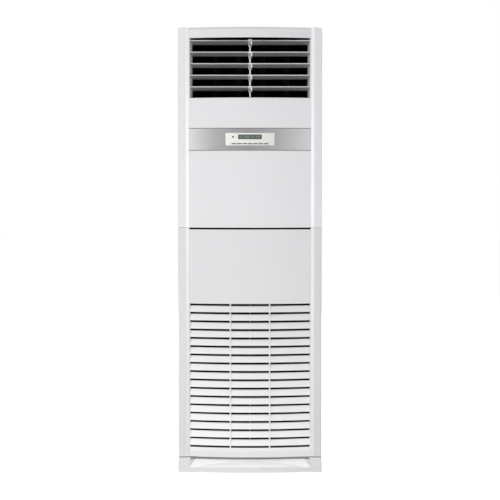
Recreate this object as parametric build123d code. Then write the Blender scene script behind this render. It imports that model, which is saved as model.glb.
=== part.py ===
from build123d import *
import os
from math import asin, atan2, cos, degrees, hypot, pi, radians, sin, tan

# A floor standing air conditioner, in millimetres.
# X runs to the viewer's right, -Y is the front and +Z is up.  The origin is on the floor, under
# the middle of the cabinet.

# ---------------------------------------------------------------- driving dimensions
height = 1850.0             # floor to top cover
cabinet_width = 596.0       # across the side panels
plinth_flare = 2.0          # plinth's foot beyond each side panel
depth = 384.0               # display keys to the rear screw heads

sheet = 1.2                 # painted steel sheet
moulding = 3.0              # wall of the plastic mouldings
seat_gap = 0.3              # between two pieces that seat on each other along a curve
run_gap = 0.05              # radial play of a pin in its hole
rest_gap = 0.2              # between flat pieces that rest on each other
root = 1.0                  # how far a boss or a rib reaches into what carries it
past = 5.0                  # how far a cut runs beyond what it cuts

# front mouldings
panel_bulge = 28.0          # sagitta of the front panels across their width
pillar_front_set = 22.0     # pillars' flat front behind the crown of the bulge
pillar_face_width = 32.4    # flat front face of each pillar
pillar_bevel_width = 12.6   # bright bevel beside the panels
pillar_bevel_depth = 6.4
pillar_panel_gap = 0.5      # between the bevel's inner edge and the panels' side edge
pillar_depth = 40.0
pillar_corner = 5.0
pillar_crown_drop = 4.0     # how far the pillars' tops fall towards the sides
pillar_crown_round = 9.0    # round of the pillars' top outer corners
pillar_seam = 0.5           # half the joint between an upper and a lower pillar

# heights of the front
plinth_top = 62.0
pillar_rise = 3.5           # pillars' foot above the plinth
grille_rise = 4.0           # grille's foot above the plinth
seam_height = 1023.0        # where the upper front meets the lower one
finger_gap = 8.0
outlet_height = 246.0
head_strip = 44.3           # upper edge of the air outlet to the top
head_round = 20.0           # round of the head trim's top edge
head_flange = 36.0          # head trim's top, from the crown back
head_lip = 12.0
sill_depth = 33.0
sill_round = 6.0
panel_foot_fold = 16.0      # turned-in foot of the upper panel
band_drop = 124.9           # outlet's lower edge to the silver band
band_height = 94.0
band_recess = 2.0
band_thickness = 1.4
band_seat = 0.2             # band to the floor of its recess
band_edge_gap = 0.4         # band to the recess's upper and lower walls

# display
plate_half_width = 101.0
plate_drop = 21.3           # band's upper edge to the plate
plate_height = 51.5
plate_corner = 4.0
plate_proud = 2.4           # plate's face in front of the panel
plate_seat = 0.1            # plate to silver band
plate_ledge = 5.0           # panel and band left behind the plate's ends
plate_shelf = 3.0           # and behind its upper and lower edges
window_half_width = 48.5
window_drop = 6.5
window_height = 19.0
window_corner = 1.5
window_gap = 0.15           # between the window glass and the plate
window_set = 0.4            # glass behind the plate's face
receiver_x = -70.2
receiver_drop = 16.3        # plate's upper edge to the receiver's middle
receiver_radius = 3.75
receiver_proud = 0.3
key_count = 7
key_pitch = 22.3
key_width = 19.0
key_tall = 5.0
key_rise = 7.6              # plate's lower edge to the keys' middle
key_proud = 0.9
key_travel = 0.9
key_play = 0.25
key_flange = 1.2
key_flange_lap = 0.8
key_stem_radius = 1.6
board_set = 13.0            # display board behind the crown of the bulge
board_thickness = 1.6
board_margin = 7.0          # board's ends inside the plate's
switch_half = 3.0           # key switches and the receiver can
switch_height = 2.4
switch_gap = 0.2            # key stem to its switch when pressed home
cell_half_width = 46.0      # display cell behind the window
cell_margin = 1.0
cell_gap = 1.4
post_radius = 2.5
post_set_x = 13.0           # plate's posts inside its ends
post_set_z = 7.0

# outlet louvre
blade_count = 5
first_blade_drop = 9.7      # outlet's upper edge to the top blade's front edge
last_blade_rise = 45.9      # outlet's lower edge to the lowest blade's front edge
blade_chord = 54.0
blade_nose = 2.5            # radius of the front edge
blade_tail = 0.9
blade_tilt = 13.5           # front edge up, as it stands
blade_edge_set = 32.0       # front edges behind the crown of the bulge
blade_end_gap = 1.0
blade_pin_radius = 3.0
blade_pin_reach = 1.4       # pin beyond the cheek's outer face
blade_pin_root = 8.0
blade_down = 35.0           # lowest tilt, which the ends have to clear
link_arm = 36.0             # blade pivot to link pin
link_lug_width = 4.8
link_lug_x = 4.2
link_lug_nose = 20.0        # lug's upright front edge ahead of the pivot
link_lug_depth = 15.0       # how far it hangs under the blade there
link_lug_round = 4.0
link_pin_radius = 2.0
link_boss_radius = 5.0
link_head_radius = 4.0
link_head_width = 3.0
link_head_gap = 0.4
rod_half_width = 3.2
rod_thickness = 5.0
rod_eye_radius = 4.2
rod_tail = 6.0              # rod above its top pin
rod_foot = 24.0             # and below its lowest pin
tab_width = 22.0            # finger tab on the top blade
tab_rise = 4.0
tab_thickness = 1.6

# cheeks and duct
cheek_inset = 2.5           # cheek's inner face inside the panels' side edge, at the front
cheek_taper = 9.0           # and further inside at its rear
cheek_thickness = 2.5
cheek_front_set = 30.0      # behind the crown of the bulge
cheek_length = 68.0
duct_front_gap = 2.0        # duct's roof and floor behind the cheeks' front
duct_wall_gap = 0.5         # duct's side walls behind the cheeks
duct_roof_rise = 22.3       # roof above the outlet's upper edge
duct_floor_drop = 3.7       # floor below the outlet's lower edge
duct_skirt = 106.0          # floor to the duct's foot
duct_turn = 130.0           # radius where the roof bends down
duct_rear_gap = 7.0         # duct to rear panel
duct_floor_length = 175.0

# vertical vanes
vane_count = 4
vane_pitch = 100.0
vane_chord = 80.0
vane_thickness = 2.4
vane_yaw = 19.0             # as they stand, front edges to the right
vane_set = 150.0            # pivots behind the crown of the bulge
vane_foot_gap = 16.0        # vane to duct floor
vane_head_gap = 12.0        # vane to duct roof
vane_pin_radius = 3.0
vane_stem_radius = 4.5
vane_arm = 22.0             # pivot to link pin
vane_link_pin_radius = 2.0
vane_boss_radius = 4.0
vane_boss_height = 14.0
link_bar_thickness = 3.0
link_bar_half_width = 5.0
link_bar_lift = 8.0         # above the duct floor
link_pin_proud = 0.8
crank_set = 22.0            # crank inside the duct's side wall
crank_gap = 0.6             # crank arm to link bar
crank_thickness = 4.0
crank_radius = 6.0
crank_shaft_radius = 3.0
crank_shaft_grip = 12.0     # shaft inside the motor
swing_motor_radius = 17.5
swing_motor_height = 20.0
swing_motor_drop = 2.0
motor_ear_reach = 13.0
motor_ear_width = 14.0
motor_ear_boss = 4.0

# intake grille
slot_count = 18
first_slot = 702.3          # middle of the top slot, from the floor
last_slot_rise = 43.85      # grille's foot to the middle of the lowest slot
slot_gap = 9.2
slat_set = 9.0              # top edge of a slat behind its bottom edge
slat_thickness = 2.5
rib_x = 81.5
rib_width = 5.0
rib_front_set = 0.6         # ribs behind the slats' front edges
rib_depth = 20.0
rib_lap = 12.0              # ribs above the top slot
grille_wall = 2.5
grille_wall_depth = 30.0
grille_wall_set = 0.5
grille_head_fold = 16.0
rail_edge_set = 4.0         # bevel along the bottom rail
rail_edge_drop = 6.0
rail_fold = 14.0
peg_rise = 14.0             # hinge pegs above the grille's foot
peg_set = 36.0              # hinge pegs behind the crown of the bulge
peg_radius = 3.0
peg_length = 6.0
peg_end_gap = 1.0           # peg to the bottom of its hole
filter_set = 46.0           # filters' front behind the crown of the bulge
filter_thickness = 5.0
filter_play = 1.0
filter_rise = 35.3          # filters' foot above the grille's
filter_lap = 17.7           # filters' top above the top slot
filter_lift = 12.0
filter_rim = 9.0
filter_bar = 2.5
filter_row_count = 6
filter_mesh = 0.7
channel_wall = 2.5
channel_lip = 7.0
channel_top_lip = 18.0
stay_height = 12.0          # stays from the ribs back to the filter channels

# steel cabinet
front_flange = 42.0
rear_flange = 22.0
fold_radius = 3.0
fold_clearance = 0.5        # cross members to the side panels' folds
cover_depth = 14.0
cover_round = 7.0
cover_wall = 1.5
rear_edge_gap = 2.0         # rear panel inside the side panels' faces
rear_foot_gap = 1.0
rear_rib_depth = 1.8
rear_rib_height = 14.0
rear_rib_set = 78.0         # ribs' ends inside the side panels' faces
rear_rib_margin = 130.0
rear_rib_taper = 35.0
rear_rib_count = 7
screw_head_radius = 4.5
screw_head_height = 2.8
screw_head_rim = 1.4
screw_crown_radius = 2.6
screw_shank_radius = 2.0
screw_shank_length = 8.0
screw_hole_gap = 0.1
screw_end_set = 60.0        # first and last screws from the panel's ends
screw_row_count = 6
bracket_hole_radius = 3.25
bracket_hole_spacing = 200.0
bracket_hole_drop = 40.0
rail_height = 40.0
rail_fold_depth = 18.0

# plinth and base
lip_height = 21.0
lip_bulge = 16.0
lip_flat = 2.0
lip_root = 30.0
ledge_top = 53.0
ledge_set = 18.0            # back of the toe recess behind the pillars' front
ledge_bow = 14.0
recess_side_set = 1.5       # toe recess inside the panels' side edge, at the front
recess_taper = 24.0         # and further inside at its back
base_sheet = 2.0
base_side_gap = 11.0        # pan inside the side panels
base_corner = 14.0
base_front_set = 50.0       # front wall of the pan behind the pillars' front
base_rear_set = 6.0
swage_x = 110.0
swage_width = 36.0
swage_length = 220.0
swage_height = 5.0
swage_round = 3.0
anchor_radius = 6.0
anchor_set = 57.0           # anchor holes inside the pan's sides
anchor_spacing_y = 220.0

# blower
wheel_x = -45.0
wheel_height = 402.0
wheel_radius = 165.0
wheel_eye = 136.0
wheel_width = 130.0
wheel_front_set = 140.0     # behind the crown of the bulge
wheel_blade_count = 36
wheel_blade_thickness = 1.6
wheel_blade_lead = 7.0      # degrees from a blade's inner edge to its outer one
wheel_blade_camber = 1.0
wheel_disc = 2.0
wheel_ring = 3.0
wheel_ring_width = 9.0
hub_radius = 24.0
hub_length = 40.0
hub_web_radius = 70.0
hub_web_wall = 4.0
shaft_radius = 6.35
shaft_nose = 6.0
shaft_grip = 25.0
scroll_start = 182.0        # first radius of the scroll
scroll_step = 30.0
scroll_sheet = 1.5
scroll_margin = 14.0        # wheel to the scroll's side plates
inlet_radius = 126.0
inlet_bell = 12.0
inlet_flange = 8.0
inlet_throat = 8.0
tongue_x = 18.0             # tongue beyond the wheel's axis
tongue_radius = 10.0
motor_radius = 72.0
motor_length = 52.0
motor_neck = 30.0
motor_neck_length = 6.0
motor_neck_gap = 2.0
motor_flange_radius = 60.0
motor_flange = 3.0
motor_shoulder = 7.0
motor_cap_bevel = 8.0
motor_cap_depth = 6.0
motor_rib_count = 12
motor_rib_half = 1.5
motor_rib_proud = 2.0
deck_height = 770.0
deck_fold = 18.0
deck_notch_front = 22.0     # notch for the pipes, before and behind their line
deck_notch_rear = 42.0
deck_notch_side = 14.0

# coil
coil_side_set = 50.0        # coil's ends inside the side panels' faces
coil_thickness = 58.0
coil_end_gap = 32.2         # upper end of the coil short of its upper mark
fin_count = 36
fin_thickness = 2.0
fin_web = 4.0
coil_foot_set = 108.0       # behind the crown of the bulge, at the coil's lower end
coil_foot_dip = 24.0        # coil's lower end inside the trough
coil_top_set = 46.7         # upper mark before the rear panel
coil_top_drop = 65.0        # upper mark below the duct's foot
end_plate = 1.5
end_plate_gap = 0.1
end_plate_margin = 5.0
end_plate_foot = 6.4
end_plate_lip = 10.0
tube_row_count = 12
tube_radius = 4.8
tube_row_offset = 14.0
bend_radius = 12.7
bend_reach = 8.0
bend_gap = 0.4
trough_leg = 44.0           # fan deck to the trough
trough_depth = 46.0
trough_wall = 3.0
trough_front_set = 66.0
trough_width = 96.0
trough_side_gap = 18.0
trough_draft = 8.0
trough_foot_width = 12.0
trough_foot_set = 30.0
drain_radius = 8.0
drain_wall = 1.5
drain_set = 18.0            # drain inside the trough's right end
drain_height = 110.0
drain_bend = 30.0
drain_spigot = 25.0         # free end beyond the collar
drain_end_set = 1.0
drain_collar = 3.0
drain_collar_lap = 2.5
drain_neck = 16.0
drain_hole_radius = 16.0

# refrigerant pipes
pipe_line_set = 226.0       # gas pipe behind the crown of the bulge
pipe_line_gap = 20.0        # liquid pipe behind the gas pipe
pipe_drop_set = 26.0        # pipes inside the right side panel
gas_port_drop = 235.0       # gas port below the coil's upper mark
port_spacing = 50.0
gas_turn_rise = 70.0        # where the pipes turn towards the hole
liquid_turn_rise = 60.0
gas_bend = 14.0
liquid_bend = 8.0
stub_set = 24.0             # unions' ends before the rear panel
union_spacing = 28.0
union_nut = 14.0
union_nut_lap = 3.5
union_length = 20.0
pipe_hole_set = 86.0        # pipe hole inside the side panel's face
pipe_hole_height = 190.0
pipe_hole_radius = 42.0
grommet_inner_radius = 38.0
grommet_lip = 3.0
grommet_proud = 2.0
gas_radius = 8.0
liquid_radius = 4.8
gas_nut_radius = 11.1
liquid_nut_radius = 7.9

# electrics
box_half_width = 110.0
box_x = -60.0
box_low = 1150.0
box_height = 160.0
box_depth = 55.0
box_front_lap = 4.0
strap_height = 20.0
strap_set = 12.0
main_board_gap = 8.0
main_board_margin = 12.0
main_board_room = 70.0      # left beside the board for the capacitor
capacitor_radius = 20.0
capacitor_length = 70.0
capacitor_gap = 6.0
terminal_length = 12.0
terminal_spacing = 14.0

# blocks on the main board: from its left end, width, from its foot, height, depth
heat_sink_block = (18.0, 35.0, 18.0, 32.0, 26.0)
choke_block = (68.0, 22.0, 14.0, 18.0, 14.0)
relay_block = (14.0, 18.0, 88.0, 16.0, 16.0)
relay_count = 3
relay_pitch = 24.0
smoothing_can_set = 30.0    # inside the board's right end
smoothing_can_rise = 78.0
smoothing_can_radius = 9.0
smoothing_can_length = 26.0

# ---------------------------------------------------------------- worked out from them
front_y = -depth / 2 + plate_proud + key_proud     # crown of the bulged panels
rear_y = depth / 2
half_cabinet = cabinet_width / 2
panel_half_width = half_cabinet - pillar_face_width - pillar_bevel_width - pillar_panel_gap
pillar_y = front_y + pillar_front_set
pillar_rear_y = pillar_y + pillar_depth
bulge_radius = (panel_half_width ** 2 + panel_bulge ** 2) / (2 * panel_bulge)
bulge_y = front_y + bulge_radius
bulge_axis = Axis((0, bulge_y, 0), (0, 0, 1))
panel_edge_y = front_y + panel_bulge
panel_angle = degrees(asin(panel_half_width / bulge_radius))
cut_angle = 1.2 * panel_angle
rear_panel_y = rear_y - screw_head_height - sheet
cover_low = height - cover_depth
inner_half = half_cabinet - sheet - fold_radius - fold_clearance

pillar_foot = plinth_top + pillar_rise
grille_foot = plinth_top + grille_rise
grille_top = seam_height - finger_gap
head_height = height - head_strip
sill_height = head_height - outlet_height
band_high = sill_height - band_drop
band_low = band_high - band_height
band_y = front_y + band_recess - band_seat - band_thickness
plate_high = band_high - plate_drop
plate_low = plate_high - plate_height
plate_y = front_y - plate_proud
plate_thickness = band_y - plate_seat - plate_y
window_high = plate_high - window_drop
window_low = window_high - window_height
receiver_height = plate_high - receiver_drop
key_height = plate_low + key_rise
board_y = front_y + board_set

blade_pitch = (outlet_height - first_blade_drop - last_blade_rise) / (blade_count - 1)
blade_edge_y = front_y + blade_edge_set
blade_reach = blade_chord / 2
blade_pivot_y = blade_edge_y + blade_reach * cos(radians(blade_tilt))
first_pivot = head_height - first_blade_drop - blade_reach * sin(radians(blade_tilt))
cheek_front_x = panel_half_width - cheek_inset
cheek_rear_x = cheek_front_x - cheek_taper
cheek_front_y = front_y + cheek_front_set
cheek_rear_y = cheek_front_y + cheek_length
duct_half_width = cheek_rear_x
duct_roof = head_height + duct_roof_rise
duct_floor = sill_height - duct_floor_drop
duct_foot = duct_floor - duct_skirt
vane_y = front_y + vane_set
vane_low = duct_floor + vane_foot_gap
vane_high = duct_roof - vane_head_gap
link_bar_low = duct_floor + link_bar_lift
crank_x = duct_half_width - crank_set

slot_pitch = (first_slot - grille_foot - last_slot_rise) / (slot_count - 1)
peg_height = grille_foot + peg_rise
filter_y = front_y + filter_set
filter_low = grille_foot + filter_rise
filter_high = first_slot + filter_lap

recess_front_x = panel_half_width - recess_side_set
recess_rear_x = recess_front_x - recess_taper
base_half_width = half_cabinet - base_side_gap
base_front_y = pillar_y + base_front_set
base_rear_y = rear_panel_y - base_rear_set
base_middle_y = (base_front_y + base_rear_y) / 2
anchor_x = base_half_width - anchor_set

wheel_front_y = front_y + wheel_front_set
wheel_rear_y = wheel_front_y + wheel_width
scroll_front_y = wheel_front_y - scroll_margin
motor_face_y = wheel_rear_y + scroll_margin
scroll_right_x = wheel_x + 3 * scroll_step + scroll_start

trough_low = deck_height + trough_leg
trough_top = trough_low + trough_depth
trough_half_width = half_cabinet - trough_side_gap
drain_x = trough_half_width - drain_set
drain_line_y = front_y + trough_front_set + trough_width / 2
coil_half_width = half_cabinet - coil_side_set
coil_foot_y = front_y + coil_foot_set
coil_foot_height = trough_top - coil_foot_dip
coil_top_y = rear_panel_y - coil_top_set
coil_top_height = duct_foot - coil_top_drop
coil_length = hypot(coil_top_y - coil_foot_y, coil_top_height - coil_foot_height) - coil_end_gap
pipe_line_y = front_y + pipe_line_set
pipe_drop_x = half_cabinet - pipe_drop_set
pipe_hole_x = half_cabinet - pipe_hole_set
gas_port_height = coil_top_height - gas_port_drop
stub_end_y = rear_panel_y - stub_set
box_high = box_low + box_height


def box(x0, x1, y0, y1, z0, z1):
    """A block between two corners."""
    return Pos((x0 + x1) / 2, (y0 + y1) / 2, (z0 + z1) / 2) * Box(x1 - x0, y1 - y0, z1 - z0)


def rod(start, direction, radius, length):
    """A round bar from a point along a direction."""
    return extrude(Plane(origin=start, z_dir=direction) * Circle(radius), amount=length)


def side_face(*points):
    """A face in the YZ plane from its corners, facing +X."""
    return Plane.YZ * make_face(Polyline(*points, close=True))


def side_outline(*edges):
    """A face in the YZ plane from its lines and arcs, facing +X."""
    return Plane.YZ * make_face(list(edges))


def plan_face(*points):
    """A face in the XY plane from its corners."""
    return make_face(Polyline(*points, close=True))


def bulge_drop(x):
    """How far the bulge has fallen back from its crown at a distance from the middle."""
    return x * x / (2 * bulge_radius)


def bulged(face, half_angle=panel_angle):
    """A YZ outline at the crown, carried round the bulge to both sides."""
    return revolve(face, axis=bulge_axis, revolution_arc=2 * half_angle).rotate(bulge_axis, -half_angle)


def squared(face):
    """A YZ outline carried round the bulge, with its ends cut square at the panels' side edges."""
    reach = panel_half_width
    keep = box(-reach, reach, front_y - past, pillar_rear_y + past, 0, height + past)
    return bulged(face, cut_angle) & keep


def mirrored(shape):
    """The same piece on the other side."""
    return mirror(shape, about=Plane.YZ)


def fuse(shapes):
    """Every shape in a list as one."""
    shapes = list(shapes)
    return shapes[0].fuse(*shapes[1:])


def save(name, shape):
    """Write one node."""
    shape.label = name
    export_step(shape, os.path.join("parts", name + ".step"))


def cheek_x(y):
    """Inner face of the right cheek at a depth."""
    return cheek_front_x - cheek_taper * (y - cheek_front_y) / cheek_length


def turned(y, z, angle):
    """A point of the YZ plane turned about X by an angle in degrees."""
    a = radians(angle)
    return y * cos(a) - z * sin(a), y * sin(a) + z * cos(a)


# ---------------------------------------------------------------- plinth and base
def lip_outline(inset):
    """Plan of the plinth's bulged lip, between the corner blocks."""
    edge = panel_half_width - inset
    front = pillar_y + inset
    back = front + lip_root
    arc = ThreePointArc((-edge, front), (0, front - lip_bulge), (edge, front))
    return make_face([arc, Polyline((edge, front), (edge, back), (-edge, back), (-edge, front))])


def toe_recess(grow):
    """The toe recess above the sloped ledge, widened by a wall thickness."""
    spread = recess_taper / ledge_set
    out_y = pillar_y - 2 * lip_bulge - 4 * past

    def section(y, bow, half):
        wide = half + spread * (y - out_y)
        arc = ThreePointArc((-half, y), (0, y - bow), (half, y))
        rest = Polyline((half, y), (wide, out_y), (-wide, out_y), (-half, y))
        return make_face([arc, rest])

    low = section(pillar_y + lip_flat + grow, lip_bulge, recess_front_x + grow)
    high = section(pillar_y + ledge_set + grow, ledge_bow, recess_rear_x + grow)
    slope = loft([Pos(0, 0, lip_height - grow) * low, Pos(0, 0, ledge_top - grow) * high], ruled=True)
    return slope + extrude(Pos(0, 0, ledge_top - grow) * high, amount=plinth_top - ledge_top + 4 * past)


def plinth_block(inset, top):
    """Outer form of the plinth, drafted out to its foot."""
    def ring(half, z):
        front = pillar_y + inset
        back = rear_panel_y + sheet + 2 * inset
        face = plan_face((-half, front), (half, front), (half, back), (-half, back))
        corners = face.vertices().sort_by(Axis.Y)[:2]
        return Pos(0, 0, z) * fillet(corners, pillar_corner)

    foot = half_cabinet + plinth_flare - inset
    head = half_cabinet - inset
    block = loft([ring(foot, -inset), ring(head, top)], ruled=True)
    lip = extrude(Pos(0, 0, -inset) * lip_outline(inset), amount=lip_height)
    return block + lip


def make_plinth():
    outside = plinth_block(0.0, plinth_top) - toe_recess(0.0)
    inside = plinth_block(moulding, plinth_top - moulding) - toe_recess(moulding)
    half = base_half_width - base_sheet
    opening = box(-half, half, base_front_y + base_sheet, rear_y, -past, height)
    return outside - inside - opening


def make_base_pan():
    """Steel pan inside the plinth, with two swages and the anchor holes."""
    top = plinth_top - moulding

    def tray(inset, low, high):
        half = base_half_width - inset
        length = base_rear_y - base_front_y - 2 * inset
        plan = Pos(0, base_middle_y) * RectangleRounded(2 * half, length, base_corner - inset)
        return extrude(Pos(0, 0, low) * plan, amount=high - low)

    pan = tray(0.0, 0.0, top) - tray(base_sheet, base_sheet, top + past)
    for x in (-swage_x, swage_x):
        swage = box(x - swage_width / 2, x + swage_width / 2, base_middle_y - swage_length / 2,
                    base_middle_y + swage_length / 2, base_sheet, base_sheet + swage_height)
        pan += fillet(swage.edges().group_by(Axis.Z)[-1], swage_round)
    for x in (-anchor_x, anchor_x):
        for y in (base_middle_y - anchor_spacing_y / 2, base_middle_y + anchor_spacing_y / 2):
            pan -= rod((x, y, -past), (0, 0, 1), anchor_radius, base_sheet + 2 * past)
    return pan


# ---------------------------------------------------------------- steel cabinet
def trace_outline(path, thickness):
    """Outline of a sheet of even thickness along a path."""
    return offset(path, amount=thickness / 2, side=Side.BOTH, kind=Kind.INTERSECTION).edges()


def screw_heights():
    low = plinth_top + screw_end_set
    high = cover_low - screw_end_set
    return [low + (high - low) * i / (screw_row_count - 1) for i in range(screw_row_count)]


def screw_hole(side, z):
    """Cut for one screw through the rear panel and a side panel's rear fold."""
    x = side * (half_cabinet - rear_flange / 2)
    return rod((x, rear_panel_y - past, z), (0, 1, 0), screw_shank_radius + screw_hole_gap, 2 * past)


def make_side_panel():
    """The right side panel: one sheet, folded inwards at the front and at the rear."""
    outer = half_cabinet
    middle = sheet / 2
    front = pillar_rear_y + seat_gap
    path = FilletPolyline((outer - front_flange, front + middle), (outer - middle, front + middle),
                          (outer - middle, rear_panel_y - middle),
                          (outer - rear_flange, rear_panel_y - middle), radius=fold_radius)
    plan = Pos(0, 0, plinth_top) * make_face(trace_outline(path, sheet))
    panel = extrude(plan, amount=cover_low - seat_gap - plinth_top)
    for z in screw_heights():
        panel -= screw_hole(1, z)
    return panel


def make_rear_panel():
    """Rear sheet with pressed ribs, holes for the pipes and two for a wall bracket."""
    half = half_cabinet - rear_edge_gap
    low = plinth_top + rear_foot_gap
    high = cover_low - seat_gap
    face_y = rear_panel_y + sheet
    panel = box(-half, half, rear_panel_y, face_y, low, high)
    rib = RectangleRounded(2 * (half_cabinet - rear_rib_set), rear_rib_height, rear_rib_height * 0.49)
    span = high - low - 2 * rear_rib_margin
    for i in range(rear_rib_count):
        z = low + rear_rib_margin + span * (i + 0.5) / rear_rib_count
        if abs(z - pipe_hole_height) < pipe_hole_radius + rear_rib_height:
            continue
        outside = Plane(origin=(0, face_y, z), x_dir=(1, 0, 0), z_dir=(0, 1, 0))
        inside = Plane(origin=(0, rear_panel_y, z), x_dir=(1, 0, 0), z_dir=(0, 1, 0))
        panel += extrude(outside * rib, amount=rear_rib_depth, taper=rear_rib_taper)
        panel -= extrude(inside * offset(rib, amount=-sheet), amount=rear_rib_depth, taper=rear_rib_taper)
    for side in (-1, 1):
        for z in screw_heights():
            panel -= screw_hole(side, z)
        bracket = (side * bracket_hole_spacing / 2, rear_panel_y - past, high - bracket_hole_drop)
        panel -= rod(bracket, (0, 1, 0), bracket_hole_radius, 2 * past)
    panel -= rod((pipe_hole_x, rear_panel_y - past, pipe_hole_height), (0, 1, 0), pipe_hole_radius, 2 * past)
    return panel - rod((drain_x, rear_panel_y - past, drain_height), (0, 1, 0), drain_hole_radius, 2 * past)


def make_screws():
    """Pan-head screws of the rear panel."""
    seat = rear_panel_y + sheet
    tip = seat - screw_shank_length
    crown = seat + screw_head_height
    profile = side_face((tip, 0), (tip, screw_shank_radius), (seat, screw_shank_radius),
                        (seat, screw_head_radius), (seat + screw_head_rim, screw_head_radius),
                        (crown, screw_crown_radius), (crown, 0))
    screw = revolve(profile, axis=Axis.Y)
    places = [(side * (half_cabinet - rear_flange / 2), z) for side in (-1, 1) for z in screw_heights()]
    return Compound(children=[Pos(x, 0, z) * screw for x, z in places])


def make_top_cover():
    """Steel lid with a turned-down rim; its front edge follows the head trim."""
    front = pillar_rear_y + seat_gap
    rear = rear_panel_y + sheet

    def plan(inset):
        back = plan_face((-half_cabinet + inset, front + inset), (half_cabinet - inset, front + inset),
                         (half_cabinet - inset, rear - inset), (-half_cabinet + inset, rear - inset))
        reach = panel_half_width - inset
        joined = front + 2 * inset + past
        nose = plan_face((-reach, front_y), (reach, front_y), (reach, joined), (-reach, joined))
        disc = Pos(0, bulge_y) * Circle(bulge_radius - head_flange - seat_gap - inset)
        over = panel_half_width + seat_gap + inset
        clear = front + head_flange
        trim = plan_face((-over, front_y), (over, front_y), (over, clear), (-over, clear))
        return back + nose - (trim - disc)

    def side_edges(shape):
        edges = [e for e in shape.edges().filter_by(Axis.Y) if e.center().Z > cover_low + cover_wall]
        return [e for e in edges if abs(abs(e.center().X) - half_cabinet) < 2 * cover_wall]

    lid = extrude(Pos(0, 0, cover_low) * plan(0.0), amount=cover_depth)
    lid = fillet(side_edges(lid), cover_round)
    hollow = extrude(Pos(0, 0, cover_low - past) * plan(cover_wall), amount=cover_depth + past - cover_wall)
    return lid - fillet(side_edges(hollow), cover_round - cover_wall)


def make_mid_rail():
    """Cross member that the upper panel's foot and the grille's catches meet."""
    front = pillar_rear_y + seat_gap + sheet
    back = front + rail_fold_depth
    low = seam_height - rail_height / 2
    high = low + rail_height
    section = side_face((front, low), (back, low), (back, low + sheet), (front + sheet, low + sheet),
                        (front + sheet, high - sheet), (back, high - sheet), (back, high), (front, high))
    return Pos(-inner_half, 0, 0) * extrude(section, amount=2 * inner_half)


# ---------------------------------------------------------------- front mouldings
def pillar_plan(inset):
    """Plan of the right pillar: flat front, bevel that meets the panel's edge, inner wall."""
    slant = atan2(pillar_bevel_depth, pillar_bevel_width)
    outer = half_cabinet - inset
    front = pillar_y + inset
    bevel_x = half_cabinet - pillar_face_width + inset * tan(slant / 2)
    inner_x = half_cabinet - pillar_face_width - pillar_bevel_width + inset
    bevel_y = pillar_y + pillar_bevel_depth + inset * tan(pi / 4 - slant / 2)
    rear = pillar_rear_y + (past if inset else 0.0)
    face = plan_face((outer, rear), (outer, front), (bevel_x, front), (inner_x, bevel_y), (inner_x, rear))
    corner = face.vertices().sort_by_distance((outer, front))[0]
    return fillet(corner, pillar_corner - inset)


def make_pillar(low, high, roof):
    """Right pillar moulding, open at the back, with a roof of some thickness."""
    post = extrude(Pos(0, 0, low) * pillar_plan(0.0), amount=high - low)
    return post - extrude(Pos(0, 0, low - past) * pillar_plan(moulding), amount=high - roof - low + past)


def make_upper_pillar():
    """Upper right pillar, whose top falls towards the side and turns down in a round corner."""
    r = pillar_crown_round
    inner, outer = half_cabinet - pillar_face_width, half_cabinet
    shoulder = height - pillar_crown_drop * (1 - r / pillar_face_width)
    above = [
        Line((inner, height), (outer - r, shoulder)),
        RadiusArc((outer - r, shoulder), (outer, shoulder - r), r),
        Polyline((outer, shoulder - r), (outer + past, shoulder - r), (outer + past, height + past),
                 (inner, height + past), (inner, height)),
    ]
    post = make_pillar(seam_height + pillar_seam, height, moulding + pillar_crown_drop + r / 2)
    return post - extrude(Plane.XZ * make_face(above), amount=depth, both=True)


def make_lower_pillar():
    """Lower right pillar with the hole of the grille's hinge peg."""
    post = make_pillar(pillar_foot, seam_height - pillar_seam, moulding)
    start = (panel_half_width - past, front_y + peg_set, peg_height)
    return post - rod(start, (1, 0, 0), peg_radius + run_gap, past + peg_length + peg_end_gap)


def make_head_trim():
    """Bulged strip over the outlet, with a rounded top and a lip turned in at the bottom."""
    y, z, low = front_y, height, head_height
    back = y + head_flange
    t = moulding
    outer = side_outline(
        Line((y, low), (y, z - head_round)),
        RadiusArc((y, z - head_round), (y + head_round, z), head_round),
        Polyline((y + head_round, z), (back, z), (back, z - t), (y + head_round, z - t)),
        RadiusArc((y + head_round, z - t), (y + t, z - head_round), -(head_round - t)),
        Polyline((y + t, z - head_round), (y + t, low + t), (y + head_lip, low + t), (y + head_lip, low),
                 (y, low)),
    )
    return squared(outer)


def display_opening():
    """Cut behind the display plate, through the panel and the silver band."""
    half = plate_half_width - plate_ledge
    return box(-half, half, front_y - panel_bulge, front_y + panel_bulge, plate_low + plate_shelf,
               plate_high - plate_shelf)


def make_upper_panel():
    """Bulged panel under the outlet: rolled sill, band recess, display window, side returns."""
    y, t, r = front_y, moulding, sill_round
    low, high = seam_height, sill_height
    fold = y + panel_foot_fold
    section = side_outline(
        Line((y, low), (y, high - r)),
        RadiusArc((y, high - r), (y + r, high), r),
        Polyline((y + r, high), (y + sill_depth, high), (y + sill_depth, high - t), (y + r, high - t)),
        RadiusArc((y + r, high - t), (y + t, high - r), -(r - t)),
        Polyline((y + t, high - r), (y + t, low + t), (fold, low + t), (fold, low), (y, low)),
    )
    reach = panel_half_width
    side = box(reach - grille_wall, reach, panel_edge_y + root, pillar_rear_y, low, high)
    panel = squared(section) + side + mirrored(side)
    recess = side_face((y - past, band_low), (y + band_recess, band_low), (y + band_recess, band_high),
                       (y - past, band_high))
    return panel - bulged(recess, cut_angle) - display_opening()


def make_silver_band():
    """Brushed band in the panel's recess, open behind the display plate."""
    back = band_y + band_thickness
    low = band_low + band_edge_gap
    high = band_high - band_edge_gap
    band = bulged(side_face((band_y, low), (back, low), (back, high), (band_y, high)))
    return band - display_opening()


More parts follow.
